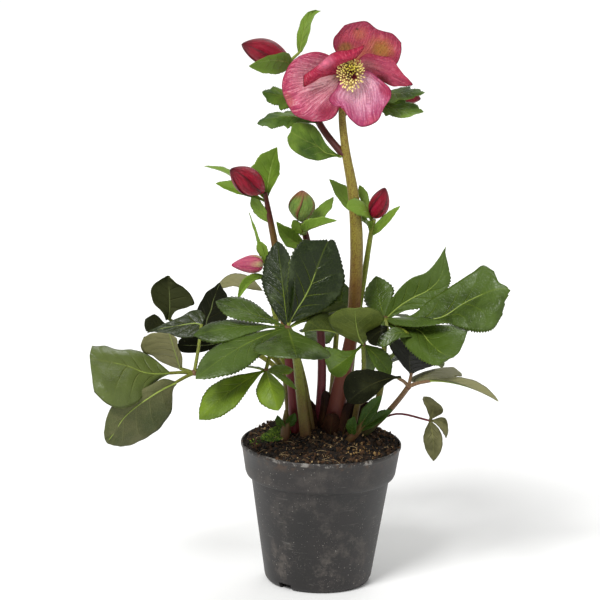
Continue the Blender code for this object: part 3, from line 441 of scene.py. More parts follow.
bladeInputs = {  # an input of the tree, its name in a row, and its usual value
    "Bow": ("bow", 0.0), "Sway": ("sway", 0.0), "Fullness": ("fullness", 0.8), "Ripple": ("ripple", 0.8),
    "Teeth": ("teeth", 0.9), "Tooth Start": ("toothStart", 0.3), "Stalk": ("stalk", 1.1),
    "Point": ("point", 0.3), "Uneven": ("uneven", 0.16), "Lobes": ("lobes", 4.0),
    "Lobe Depth": ("lobed", 0.0), "Thickness": ("thick", 0.5), "Groove": ("groove", 0.14),
    "Laterals": ("laterals", leafFinish["laterals"]), "Rib": ("rib", 0.8), "Tone": ("tone", 0.5),
}
bladeSizes = {
    **{label: usual for label, (_, usual) in bladeInputs.items()},
    "Base": (0.0, 0.0, 0.0), "Tip": (0.0, 0.0, 50.0), "Face": (0.0, -1.0, 0.0), "Width": 30.0, "Fold": 0.0,
    "Curl": 0.0, "Twist": 0.0, "Power": 1.36, "Tooth Count": 30.0, "Lean": leafFinish["lean"], "Seed": 0.0,
    "Rows": 90, "Columns": 24, "Top": None, "Under": None, "Rib Skin": None,
}
bladeGrid = {"pitch": 3.0, "fewest": 6, "perTooth": 4, "cell": 4.0, "narrowest": 5}  # teeth, rows and columns


def makeBladeTree():
    graph, given = geometryGraph("blade", bladeSizes)
    maths, add = graph.maths, graph.add
    base, tip, face = given["Base"], given["Tip"], given["Face"]
    grid = add("MeshGrid", 2.0, 2.0, given["Columns"], given["Rows"])
    place = add("SeparateXYZ", add("InputPosition"))
    across, along = place["X"], place["Y"] * 0.5 + 0.5
    out, sideSign = maths("ABSOLUTE", across), maths("SIGN", across)

    # The midrib is a curve through base and tip, bowed towards the face
    forward = maths("NORMALIZE", tip - base)
    normal = maths("NORMALIZE", face - forward * maths("DOT_PRODUCT", forward, face))
    middle = (base + tip) * 0.5 + normal * (given["Bow"] * 2)
    middle = middle + maths("CROSS_PRODUCT", forward, normal) * (given["Sway"] * 2)
    rest = 1 - along
    rib = base * (rest * rest) + middle * (along * rest * 2) + tip * (along * along)
    tangent = maths("NORMALIZE", (middle - base) * rest + (tip - middle) * along)
    sideways = add("VectorRotate", Vector=maths("NORMALIZE", maths("CROSS_PRODUCT", tangent, normal)),
                   Axis=tangent, Angle=given["Twist"] * along)
    lift = maths("CROSS_PRODUCT", sideways, tangent)

    # The outline, with an uneven edge and forward teeth
    swell = maths("MAXIMUM", maths("SINE", along ** given["Power"] * math.pi), 0.0) ** given["Fullness"]
    least = graph.ranged(along, 0.35, 0.65, given["Stalk"], given["Point"])
    half = maths("MAXIMUM", swell * given["Width"] * 0.5, least)
    edge = add("CombineXYZ", along * 4.0, sideSign * 5.0, given["Seed"])
    uneven = add("TexNoise", Vector=edge, Scale=1.0, Detail=2.0) - 0.5
    half = half * (uneven * given["Uneven"] * 2 + 1.0)
    lobe = maths("FRACT", along * given["Lobes"] + sideSign * 0.13 + uneven * 0.8)
    lobe = maths("MINIMUM", lobe / 0.78, (1 - lobe) / 0.22)
    inward = given["Lobe Depth"] * (1 - lobe)
    inward = inward * graph.ranged(along, 0.25, 0.45) * graph.ranged(along, 1.0, 0.9)
    half = half * (1 - inward)
    tooth = maths("FRACT", along * given["Tooth Count"]) * given["Teeth"] * graph.ranged(out, 0.8, 1.0)
    tooth = tooth * graph.ranged(along, given["Tooth Start"] - 0.1, given["Tooth Start"] + 0.1)
    tooth = tooth * graph.ranged(along, 0.985, 0.95)

    # Both halves rise by the fold and roll by the curl
    angle = given["Fold"] + given["Curl"] * out
    radius = half / given["Curl"]
    reach = radius * (maths("SINE", angle) - maths("SINE", given["Fold"])) + tooth * maths("COSINE", angle)
    up = radius * (maths("COSINE", given["Fold"]) - maths("COSINE", angle)) + tooth * maths("SINE", angle)
    flutter = add("TexNoise", Scale=1.0, Detail=1.0,
                  Vector=add("CombineXYZ", along * 6.0, sideSign * 3.0, given["Seed"] + 7.0)) - 0.5
    up = up + flutter * given["Ripple"] * 2 * out * out * graph.ranged(along, 0.05, 0.3)
    lines = maths("FRACT", (along - out * (1.25 - out * 0.45) * given["Lean"]) * given["Laterals"]) - 0.5
    dip = (maths("ABSOLUTE", lines) * 2) ** 3.0 * graph.ranged(out, 1.0, 0.75) * graph.ranged(out, 0.0, 0.1)
    up = up - given["Groove"] * dip * graph.ranged(half, 2.0, 9.0)
    up = up - given["Groove"] * graph.ranged(out, 0.11, 0.0) * graph.ranged(half, 1.5, 5.0)
    position = (rib + sideways * (sideSign * reach) + lift * up) * mm

    # Two skins that meet at the margin
    sheet = add("StoreNamedAttribute", {"data_type": "FLOAT2", "domain": "CORNER"}, Geometry=grid,
                Name="UVMap", Value=add("CombineXYZ", across * 0.5 + 0.5, along, 0.0))
    sheet = add("SetPosition", Geometry=sheet, Position=position)
    uv = add("SeparateXYZ", add("InputNamedAttribute", {"data_type": "FLOAT_VECTOR"}, Name="UVMap"))
    outUv, alongUv = maths("ABSOLUTE", uv["X"] * 2 - 1), uv["Y"]
    body = (1 - outUv ** 6.0) * maths("MINIMUM", alongUv * (1 - alongUv) * 40.0, 1.0)
    depth = add("InputNormal") * (body * given["Thickness"] * (mm / 2))
    skins = []
    for part, sign in ((0.0, 1.0), (1.0, -1.0)):
        skin = add("SetPosition", Geometry=sheet, Offset=depth * sign)
        if sign < 0:
            skin = add("FlipFaces", skin)
        skins.append(add("StoreNamedAttribute", {"domain": "FACE"}, Geometry=skin, Name="part", Value=part))
    shell = add("MergeByDistance", add("JoinGeometry", skins), Distance=1e-6)

    # The midrib stands out below, and is a fine line above
    line = add("CurveQuadraticBezier", given["Rows"], base * mm, middle * mm, tip * mm)
    factor = add("SplineParameter")
    thin = graph.ranged(factor, 0.0, 0.9, 1.0, 0.12, False) * given["Rib"] * mm
    below = given["Thickness"] * (-0.4 * mm) - given["Groove"] * mm
    line = add("SetPosition", Geometry=line, Offset=normal * below - normal * thin * 0.55)
    tube = add("CurveToMesh", line, add("CurvePrimitiveCircle", 8, Radius=1.0), thin, True)
    tube = add("StoreNamedAttribute", {"domain": "FACE"}, Geometry=tube, Name="part", Value=2.0)
    whole = add("JoinGeometry", [shell, tube])
    whole = add("StoreNamedAttribute", {"domain": "POINT"}, Geometry=whole, Name="tone", Value=given["Tone"])
    whole = add("SetShadeSmooth", add("RealizeInstances", whole))
    kind = add("InputNamedAttribute", {"data_type": "FLOAT"}, Name="part")
    whole = add("SetMaterial", Geometry=whole, Material=given["Top"])
    for part, skin in ((1.0, "Under"), (2.0, "Rib Skin")):
        whole = add("SetMaterial", Geometry=whole, Selection=maths("COMPARE", kind, part, 0.1),
                    Material=given[skin])
    return closeGraph(graph, whole)


bladeTree = makeBladeTree()


def blade(name, base, row, skins):
    length, curl = (Vector(row["tip"]) - Vector(base)).length, row.get("curl", 0.0)
    count = max(bladeGrid["fewest"], round(length / row.get("pitch", bladeGrid["pitch"])))
    cells = max(bladeGrid["narrowest"], round(row["width"] / row.get("cell", bladeGrid["cell"])))
    values = {label: float(row.get(key, usual)) for label, (key, usual) in bladeInputs.items()}
    for label, place in (("Base", base), ("Tip", row["tip"]), ("Face", row["face"])):
        values[label] = [float(v) for v in place]
    for label, angle in (("Fold", row.get("fold", 0)), ("Curl", curl if abs(curl) > 1 else 1.0),
                         ("Twist", row.get("twist", 0))):
        values[label] = math.radians(angle)
    values["Width"], values["Seed"] = float(row["width"]), float(row["seed"])
    values["Power"] = math.log(0.5) / math.log(row.get("widest", 0.6))
    values["Tooth Count"], values["Rows"] = float(count), count * bladeGrid["perTooth"] + 1
    values["Columns"] = 2 * cells + 1
    values["Top"], values["Under"], values["Rib Skin"] = skins
    return grow(name, bladeTree, values)


# Stems follow a line of points with a thickness at each

stemSizes = {"Sides": 14, "Step": 1.3, "Bumps": 0.12, "Bump Scale": 160.0, "Skin": None}


def makeStemTree():
    graph, given = geometryGraph("stem", stemSizes)
    add = graph.add
    thickness = add("InputNamedAttribute", {"data_type": "FLOAT"}, Name="thickness")
    line = add("SetCurveRadius", Curve=add("MeshToCurve", given["Geometry"]), Radius=thickness)
    line = add("ResampleCurve", {"mode": "LENGTH"}, Curve=line, Length=given["Step"] * mm)
    ring = add("CurvePrimitiveCircle", given["Sides"], Radius=1.0)
    tube = add("CurveToMesh", line, ring, add("InputRadius"), True)
    lump = add("TexNoise", Vector=add("InputPosition"), Scale=given["Bump Scale"], Detail=3.0) - 0.5
    tube = add("SetPosition", Geometry=tube, Offset=add("InputNormal") * (lump * given["Bumps"] * (2 * mm)))
    tube = add("SetShadeSmooth", add("RealizeInstances", tube))
    return closeGraph(graph, add("SetMaterial", Geometry=tube, Material=given["Skin"]))


stemTree = makeStemTree()
pathSteps = 6  # between two points of a path


def between(a, b, c, d, t):  # a Catmull-Rom curve from b to c, at t from 0 to 1
    return 0.5 * (2 * b + (c - a) * t + (2 * a - 5 * b + 4 * c - d) * t * t
                  + (3 * b - a - 3 * c + d) * t ** 3)


def lengthened(points):  # with one more point at either end
    return [points[0] * 2 - points[1], *points, points[-1] * 2 - points[-2]]


def sizedPath(points, radii):  # a smooth path through the points, as (place, radius) pairs
    known = [Vector(p) for p in points]
    ends = lengthened(known)
    path = [between(*span, step / pathSteps) for span in zip(ends, ends[1:], ends[2:], ends[3:])
            for step in range(pathSteps)]
    path.append(known[-1])
    pairs = []
    for i, where in enumerate(path):
        share = i / (len(path) - 1) * (len(radii) - 1)
        low = min(int(share), len(radii) - 2)
        pairs.append((where, radii[low] + (radii[low + 1] - radii[low]) * (share - low)))
    return pairs


def stem(name, pairs, skin, sides=14, bumps=0.12):
    mesh = bpy.data.meshes.new(name)
    mesh.from_pydata([where * mm for where, _ in pairs], [(i, i + 1) for i in range(len(pairs) - 1)], [])
    thickness = mesh.attributes.new("thickness", "FLOAT", "POINT")
    for item, (_, radius) in zip(thickness.data, pairs):
        item.value = radius * mm
    return grow(name, stemTree, {"Sides": sides, "Bumps": bumps, "Skin": skin}, mesh)


def knuckle(name, centre, radius, skin):  # a lumpy joint where leaflets meet
    shape = bmesh.new()
    bmesh.ops.create_icosphere(shape, subdivisions=3, radius=1.0)
    for vertex in shape.verts:
        bump = 1 + 0.25 * noise.noise(vertex.co * 1.7 + Vector(centre))
        vertex.co = (Vector(centre) + vertex.co * radius * bump) * mm
    return newObject(name, meshOf(name, shape, skin))


# Sheets: thin closed shapes over points, for drawn leaflets, sepals and buds

def closedSheet(name, columns, rows, layers, skins, flip=1):  # two layers of points that meet at the edge
    shape = bmesh.new()
    maps = shape.loops.layers.uv.new("UVMap")
    for side, layer in enumerate(layers):
        points = [shape.verts.new(where * mm) for where in layer]
        for j in range(rows):
            for i in range(columns):
                corners = [(i, j), (i + 1, j), (i + 1, j + 1), (i, j + 1)][::-flip if side else flip]
                face = shape.faces.new([points[y * (columns + 1) + x] for x, y in corners])
                face.material_index = min(side, len(skins) - 1)
                for loop, (x, y) in zip(face.loops, corners):
                    loop[maps].uv = (x / columns, y / rows)
    bmesh.ops.remove_doubles(shape, verts=shape.verts, dist=1e-6)
    return newObject(name, meshOf(name, shape, *skins))


def alongLine(points, t):  # a smooth line through the points, at t from 0 to 1
    place = min(t * (len(points) - 1), len(points) - 1.0001)
    i = int(place)
    return between(*lengthened(points)[i:i + 4], place - i)


sheetSizes = {"columns": 60, "rows": 60, "thick": 0.5, "ruffle": 0.0, "ruffleSize": 5.0, "teeth": 0.0,
              "smooth": 0, "count": 20, "groove": 0.0, "tone": 0.5}


def sheetMesh(name, lines, skins, toward=(0, -1, 0), **sizes):
    # over the lines, which run across it from its base to its rim
    look = {**sheetSizes, **sizes}
    columns, rows = look["columns"], look["rows"]
    lines = [[Vector(p) for p in line] for line in lines]
    grid = [[alongLine([alongLine(line, i / columns) for line in lines], j / rows)
             for i in range(columns + 1)] for j in range(rows + 1)]
    spots, facing = [], Vector()
    for j in range(rows + 1):
        for i in range(columns + 1):
            du = grid[j][min(i + 1, columns)] - grid[j][max(i - 1, 0)]
            dv = grid[min(j + 1, rows)][i] - grid[max(j - 1, 0)][i]
            normal = du.cross(dv).normalized()
            spots.append((i, j, normal, du.normalized(), dv.normalized()))
            facing += normal
    flip = -1 if facing.dot(Vector(toward)) < 0 else 1
    layers = [[], []]
    for i, j, normal, across, along in spots:
        u, v = 2 * i / columns - 1, j / rows
        out = abs(u)
        edge = max(out, v) ** 3 * min(1.0, v * 3)
        lift = noise.noise(grid[j][i] / look["ruffleSize"] + Vector((0, 0, len(name))))
        lift = lift * look["ruffle"] * edge
        run = (v - out * (1.25 - out * 0.45) * leafFinish["lean"]) * leafFinish["laterals"]
        vein = (abs(run % 1 - 0.5) * 2) ** 3 * min(1.0, (1 - out) * 5) * min(1.0, out * 9)
        lift -= look["groove"] * (vein + max(0.0, 1 - out * 8))
        depth = look["thick"] / 2 * (1 - out ** 8) * min(1.0, v * (1 - v) * 40)
        tooth = look["teeth"] * 1.4 * min(1.0, max(0.0, (v - 0.18) * 8))
        tooth *= 0.1 if u * look["smooth"] > 0 else 1.0
        push = across * math.copysign(max(0.0, out * 5 - 4) * (v * look["count"] % 1), u)
        push += along * (max(0.0, v * 12 - 11) * (out * look["count"] / 4 % 1))
        for layer, sign in zip(layers, (1, -1)):
            layer.append(grid[j][i] + normal * flip * (lift + depth * sign) + push * tooth)
    sheet = closedSheet(name, columns, rows, layers, skins, flip)
    tone = sheet.data.attributes.new("tone", "FLOAT", "POINT")
    tone.data.foreach_set("value", [look["tone"]] * len(sheet.data.vertices))
    return sheet


drawnSizes = {  # a value of the sheet, its name in a row, and its usual value
    "thick": ("thick", 0.5), "teeth": ("teeth", 0.9), "smooth": ("smooth", 0), "ruffle": ("ripple", 0.8),
    "groove": ("groove", 0.4), "tone": ("tone", 0.5),
}


drawnRib = {"below": 0.55, "radii": [0.8, 0.5, 0.2], "sides": 8}
drawnGrid = {"pitch": 2.4, "columns": 24, "perTooth": 3, "ruffleSize": 7.0}


def drawnBlade(name, row, skins):  # a leaflet over its own lines, with its midrib under it
    middle = [Vector(line[len(line) // 2]) for line in row["lines"]]
    length = sum((b - a).length for a, b in zip(middle, middle[1:]))
    count = round(length / row.get("pitch", drawnGrid["pitch"]))
    face = Vector(row["face"]).normalized()
    sizes = {label: row.get(key, usual) for label, (key, usual) in drawnSizes.items()}
    sheet = sheetMesh(name, row["lines"], skins[:2], face, columns=drawnGrid["columns"], count=count,
                      rows=count * drawnGrid["perTooth"], ruffleSize=drawnGrid["ruffleSize"], **sizes)
    if row.get("plain"):
        return sheet
    path = sizedPath([p - face * drawnRib["below"] for p in middle], drawnRib["radii"])
    return joined(name, [sheet, stem(name + "Rib", path, skins[2], drawnRib["sides"], 0.0)])


# The soil's surface carries every foot, so its height comes first

soilShape = {
    "edge": 105.0, "mound": 10.5, "lump": 2.0, "brim": 57.4, "top": (4, 8, 58), "rise": (-38, 26, 260, 4),
    "rings": 90, "spokes": 220, "grain": 1.7, "grainSize": 2.6, "floor": (49.5, 78.0), "strewn": 56.5,
}
footShape = {"above": 2.0, "root": 8.0}


def soilHeight(x, y):
    topX, topY, reach = soilShape["top"]
    riseX, riseY, spread, height = soilShape["rise"]
    away = min(1.0, math.hypot(x - topX, y - topY) / reach)
    lump = noise.noise(Vector((x, y, 3.0)) / 11.0) + 0.6 * noise.noise(Vector((x, y, 9.0)) / 5.0)
    backLeft = math.exp(-((x - riseX) ** 2 + (y - riseY) ** 2) / spread)
    return (soilShape["edge"] + soilShape["mound"] * (1 - away * away) ** 1.2
            + soilShape["lump"] * lump * min(1.0, away * 2) + height * backLeft)


def plantedPath(points, radii):  # a stem's path with its foot on the soil and its root straight down
    foot = Vector(points[0])
    foot.z = soilHeight(foot.x, foot.y) + footShape["above"]
    pairs = sizedPath([foot, *points[1:]], radii)
    down = (pairs[0][0] - pairs[1][0]).normalized()
    return [(pairs[0][0] + down * footShape["root"], pairs[0][1]), *pairs]


bladeColumns = ("tip", "width", "face", "bow", "sway", "fold", "curl", "twist", "widest", "fullness")


def leaflet(*values, **more):  # a row whose first values stand under the columns above, in mm and degrees
    return {**dict(zip(bladeColumns, values)), **more}


def bract(base, *values, **more):
    return leaflet(*values, base=base, **more)


leafSkins = {  # the upper side's, the underside's and the rib's materials
    "dark": ("leafDark", "under", "rib"), "fresh": ("leafFresh", "under", "rib"),
    "dusky": ("leafDusky", "underDusky", "rib"), "grey": ("leafGrey", "underDusky", "rib"),
    # shade and dim put the darker leaf skin, a painted shade, on leaflets that lie in shadow.
    "shade": ("leafShade", "underDusky", "rib"), "dim": ("leafShade", "underDusky", "ribDusky"),
    "bract": ("bract", "bractUnder", "rib"),
}


def skinsOf(row):
    return [palette[key] for key in leafSkins[row["skins"]]]


def lined(*rows):  # lines across, from the base to the rim, each a row of x, y and z of point after point
    return [[row[i:i + 3] for i in range(0, len(row), 3)] for row in rows]


def drawn(face, *rows, **more):  # a leaflet or a bract that is drawn as lines of five points across it
    return {"face": face, "lines": lined(*rows), **more}


# Leaves: a petiole, a knuckle and its leaflets

leafLeftLow = {
    "node": "leaf_left_low", "slot": "leaf_dusky", "stalk": "stemGreen", "skins": "dusky",
    "common": dict(teeth=0.1, pitch=3.2, ripple=1.2, tone=0.7),
    "petiole": [(-14, 14, 114), (-20, 10, 135), (-30, 9, 160), (-44, -4, 176), (-66, -20, 174),
                (-95, -30, 166)],
    "radii": [2.6, 2.2, 2, 2],
    "blades": [
        drawn((0.27, -0.83, 1),
            (-112.5, -34.5, 166, -112.5, -34.5, 166, -112.5, -34, 166.5, -112.5, -33.5, 167, -112.5, -33.5, 167),
            (-120, -38, 162.5, -120.5, -39, 164.5, -122, -38.5, 167, -121, -35, 169.5, -119.5, -32, 172.5),
            (-129, -49, 156.5, -130.5, -48.5, 163, -132, -42, 169, -131, -35, 174.5, -129.5, -28.5, 179),
            (-135.5, -58.5, 150.5, -139.5, -58, 162.5, -143, -43, 173.5, -141.5, -37.5, 179, -139.5, -29, 182),
            (-147, -69, 148.5, -151.5, -66, 163, -155, -46, 177, -154.5, -42, 181.5, -152.5, -33.5, 183.5),
            (-157.5, -72, 153, -161, -66, 167.5, -164, -48.5, 179, -164, -43, 183.5, -161.5, -33.5, 186),
            (-166.5, -68, 160, -169, -60.5, 171.5, -171, -49, 180.5, -171, -44, 183.5, -170, -37.5, 187),
            tone=0.75),
        drawn((-0.3, 1, 0.42),
            (-108, -40, 162, -108, -40, 161.5, -108, -39.5, 161, -107.5, -39.5, 160, -107.5, -39, 159.5),
            (-117.5, -46.5, 165.5, -117, -46.5, 161.5, -116.5, -45, 158, -113, -42.5, 156.5, -110, -39, 154.5),
            (-128, -50, 160.5, -127.5, -51, 157, -126, -50, 153, -117, -43, 146, -110.5, -34, 140.5),
            (-141, -56, 156, -138.5, -55.5, 150.5, -136, -54, 146.5, -126.5, -45.5, 136.5, -116.5, -33.5, 127.5),
            (-151.5, -60.5, 151, -148.5, -60, 145.5, -145, -57, 138.5, -136.5, -48.5, 127.5, -127.5, -37.5, 119),
            (-157.5, -60.5, 139.5, -155, -58.5, 133, -152, -56.5, 127, -146.5, -51, 120, -139.5, -42.5, 113),
            (-159.5, -58.5, 127, -159, -58, 122.5, -157.5, -55.5, 118.5, -153.5, -53, 116, -148, -47.5, 113),
            tone=0.6),
        drawn((0, -0.61, -0.79),
            (-107, -22, 166.5, -106.5, -22.5, 166.5, -105.5, -22.5, 166.5, -105, -22.5, 166.5, -104, -23, 166.5),
            (-116, -24.5, 170.5, -111.5, -28, 174, -108, -31, 177.5, -106, -33, 179.5, -104, -33.5, 179.5),
            (-125, -28.5, 177, -118, -34, 182.5, -110, -38, 186, -108.5, -40, 188, -107, -41, 189),
            (-131.5, -30.5, 180.5, -121.5, -39, 189, -111.5, -44, 193.5, -110, -45, 194.5, -107, -45, 194),
            (-134.5, -35.5, 187, -123.5, -43, 194.5, -112.5, -47, 197.5, -110.5, -47, 197, -107.5, -47, 196.5),
            (-132, -43.5, 196.5, -123, -48, 200.5, -113.5, -49, 200, -111, -48, 198.5, -108.5, -47.5, 197.5),
            tone=0.9, teeth=0, skins="grey"),
        drawn((-0.1, -0.8, 0.6),
            (-88, -1.5, 202, -88.5, -3.5, 199.5, -90, -5.5, 196, -92, -8.5, 192.5, -94, -11, 188.5),
            (-92.5, 2, 205.5, -93.5, -1, 202, -95.5, -4, 197, -98, -8, 192, -100.5, -11, 187.5),
            (-99, 2, 205, -101, -1, 201, -103, -4, 196, -105, -7, 191.5, -107, -10, 187.5),
            (-107, -0.5, 200.5, -109, -2.5, 197, -110.5, -4.5, 194.5, -112.5, -6, 192, -114.5, -8, 189),
            (-116, -2, 197, -117, -3, 195, -118.5, -4.5, 193, -120, -5.5, 191.5, -121.5, -6.5, 189.5),
            (-124.5, -3.5, 193, -125.5, -4, 192, -126, -5, 191, -126.5, -5, 190.5, -127.5, -5.5, 190),
            (-130.5, -5, 190, -130.5, -5.5, 189.5, -131, -5.5, 189.5, -131, -5.5, 189.5, -131, -6, 189),
            tone=0.2, teeth=0),
    ],
}
leafLeftBack = {
    "node": "leaf_left_back", "slot": "leaf_dusky", "stalk": "stemGreen", "skins": "dim",
    "common": dict(teeth=0.3, pitch=3.2, tone=0.95),
    "petiole": [(-12, 31, 112), (-24, 35, 142), (-52, 32, 166), (-94, 24, 178)],
    "radii": [2.6, 2.2, 1.8, 1.8],
    "blades": [
        drawn((0.27, -1, 0.14),
            (-118, 15, 193, -117.5, 17.5, 193, -116.5, 19.5, 193, -116, 18, 193, -115, 16, 193),
            (-120.5, 14.5, 199.5, -118, 17.5, 200, -115.5, 19.5, 200.5, -113, 19, 200.5, -111, 17, 200),
            (-127, 12.5, 207, -122, 16.5, 207, -115.5, 19.5, 207.5, -108, 20, 202.5, -101, 19.5, 203.5),
            (-129.5, 11.5, 215.5, -124.5, 15.5, 215, -116, 19.5, 215, -106, 20.5, 211, -97, 21, 206),
            (-127.5, 12, 221.5, -123, 16, 222, -116.5, 19, 221.5, -109.5, 19.5, 219, -102, 19.5, 215.5),
            (-123, 13.5, 224.5, -120, 16.5, 225, -117, 19, 225, -114, 18, 224, -110.5, 17, 222),
            (-118.5, 14.5, 227, -118, 17, 227, -117.5, 19, 227, -116.5, 17.5, 227, -116, 15.5, 226.5),
            tone=0.75, teeth=0),
        leaflet((-133, 1, 197.5), 14.5, (-0.23, -1, 0.21), -2, -2, -1, 15, 4, 0.65, 0.75,
                start=(-116, 22, 188)),
        drawn((-0.49, -1, 0.63),
            (-92.5, 19.5, 181, -90, 17.5, 181.5, -88, 15, 182.5, -85.5, 13, 183, -83.5, 11, 183.5),
            (-97.5, 24, 190.5, -92.5, 20, 192, -87.5, 15, 194, -80.5, 8.5, 196, -73, 1.5, 198.5),
            (-95, 22.5, 201.5, -90, 17.5, 202.5, -84.5, 12.5, 203, -78.5, 7, 203, -72, 1, 202),
            (-91.5, 19, 209, -87, 15, 210, -83, 11.5, 210.5, -79, 8, 209, -75.5, 4, 207),
            (-88.5, 16.5, 215.5, -84.5, 13, 217, -81, 9.5, 217, -77, 6, 216.5, -72, 1, 216.5),
            (-84, 12.5, 220, -82, 10.5, 221, -79.5, 8.5, 222, -77, 6, 222, -75, 4, 221),
            (-79, 7.5, 224.5, -78.5, 7.5, 225, -78, 7, 225, -77.5, 6.5, 224.5, -77.5, 6.5, 224.5),
            tone=0.3, teeth=0),
        drawn((0, -1, 0.3),
            (-76, 14, 180, -76, 13.5, 179, -76, 13.5, 178.5, -76, 13.5, 177.5, -76, 13, 177),
            (-86.5, 14.5, 181, -86.5, 13.5, 178, -86, 13, 176, -87, 12, 174, -87.5, 11.5, 171.5),
            (-96, 14.5, 181.5, -96.5, 13.5, 178.5, -97.5, 12.5, 175.5, -98, 12, 173, -98, 11, 170),
            (-105, 14.5, 181, -105.5, 13.5, 178.5, -106.5, 12.5, 175.5, -106.5, 12, 172.5, -105.5, 11, 170.5),
            (-108.5, 13.5, 178.5, -108.5, 13, 177, -109, 12.5, 175.5, -109, 12, 174, -108.5, 12, 172.5),
            tone=0, teeth=0),
        leaflet((-46.5, 34, 213.5), 20, (0.01, -0.28, 1), 14.5, -2, -9, 10, 1, 0.63, 0.75,
            skins="grey", start=(-86, 36, 202)),
    ],
}
leafFront = {
    "node": "leaf_front", "slot": "leaf_dark", "stalk": "stemGreen", "skins": "dark",
    "common": dict(teeth=1.3, pitch=2.8, toothStart=0.3, tone=0.6),
    "petiole": [(-12, -10, 113), (-16, -16, 147), (-20, -32, 181), (-24, -46, 201), (-27, -52, 208)],
    "radii": [4.2, 3.6, 2.8, 2.2],
    "blades": [
        leaflet((-36, -25, 266), 30.5, (-0.68, -1, 0.01), 1, 1, 13, 8, 2, 0.55, 0.72, tone=0.3),
        drawn((0.22, -1, 0.1),
            (-27, -51.5, 213, -26, -51.5, 212.5, -25.5, -51.5, 212, -24.5, -51, 211.5, -24, -51, 211.5),
            (-27, -52.5, 225, -24, -51, 222, -20.5, -49.5, 221, -16.5, -50, 218.5, -13.5, -50.5, 216),
            (-27.5, -52.5, 238, -21.5, -49.5, 233.5, -15, -47.5, 230, -8, -47.5, 225, -2, -47.5, 221),
            (-27, -51.5, 251, -19.5, -48.5, 245.5, -10.5, -45, 239.5, -1, -45.5, 233, 8, -44, 227.5),
            (-24.5, -48, 262.5, -17, -46.5, 257.5, -6.5, -43, 251, 3.5, -43, 247, 13.5, -40.5, 240.5),
            (-18.5, -44, 271, -11.5, -44.5, 266.5, -3, -42.5, 261.5, 4, -42, 258.5, 11, -39, 254.5),
            (-13, -41.5, 271.5, -5.5, -41, 271, 1, -39.5, 270.5, 5.5, -37.5, 269.5, 8.5, -37.5, 263.5),
            tone=0.15),
        leaflet((-80, -45, 224.5), 23.5, (-0.06, -0.51, 1), 2, -0.5, 7, -9, 0, 0.67, 0.88),
        leaflet((-95.5, -58, 202), 22.5, (0.02, -0.45, 1), 4.5, -0.5, 1, -23, -11, 0.69, 0.94),
        leaflet((-92, -95, 179.5), 35.5, (-0.51, -0.77, 1), 5, 1, 4, -27, -1, 0.61, 0.82),
        leaflet((-19.5, -107.5, 200), 57.5, (-0.02, -0.13, 1), 2, 0.5, 11, -42, -8, 0.68, 0.7),
        leaflet((17, -22, 216), 26, (0.2, 0.9, 0.8), 2, 0, 10),
    ],
}
leafLowFront = {
    "node": "leaf_low_front", "slot": "leaf_fresh", "stalk": "stemGreen", "skins": "fresh",
    "common": dict(teeth=0.9, pitch=2.4, tone=0.6),
    "petiole": [(-7, 3, 115), (-14, -4, 156), (-22, -28, 184), (-37, -50, 190), (-42, -60, 178)],
    "radii": [2.2, 1.8, 1.6, 1.4],
    "blades": [
        leaflet((-89.5, -77.5, 144), 27.5, (-0.35, -1, 0.85), 4.5, 1, 7, -11, 9, 0.64, 0.82),
        leaflet((-32, -85, 154.5), 24, (0.12, -1, 0.42), 4.5, 1, -19, -15, -9, 0.57, 0.68),
        leaflet((-22, -50, 176), 10, (0, -0.6, 1)),
        leaflet((-19, -62, 164), 7, (0.2, -0.4, 1), 2),
        leaflet((-70, -44, 174), 22, (0, 0.25, 1), 2),
    ],
}
leafMiddle = {
    "node": "leaf_middle", "slot": "leaf_fresh", "stalk": "stemGreen", "skins": "fresh",
    "common": dict(teeth=0.9, pitch=2.4, tone=0.25),
    "petiole": [(23, -1, 114), (28, -10, 150), (30, -18, 170), (29, -25, 190)],
    "radii": [2.4, 2, 1.8, 1.8],
    "blades": [
        leaflet((21.5, -62, 226.5), 42, (-0.08, 1, 0.7), -3.5, 1.5, 11, 11, -3, 0.61, 0.54),
        leaflet((4, -39.5, 172.5), 32, (-0.58, -1, 0.83), 2.5, -3, 16, 17, -5, 0.8, 0.83),
        leaflet((37, -8, 164), 15, (0.3, -1, 0.4), 0, 0, 8),
        leaflet((50, -22, 166), 17, (0.1, -0.8, 1), 2, 0, 10),
        leaflet((-16.5, -53, 205), 25, (-0.15, 1, 0.88), 7.5, 1.5, 20, 38, 10, 0.64, 0.74),
    ],
}
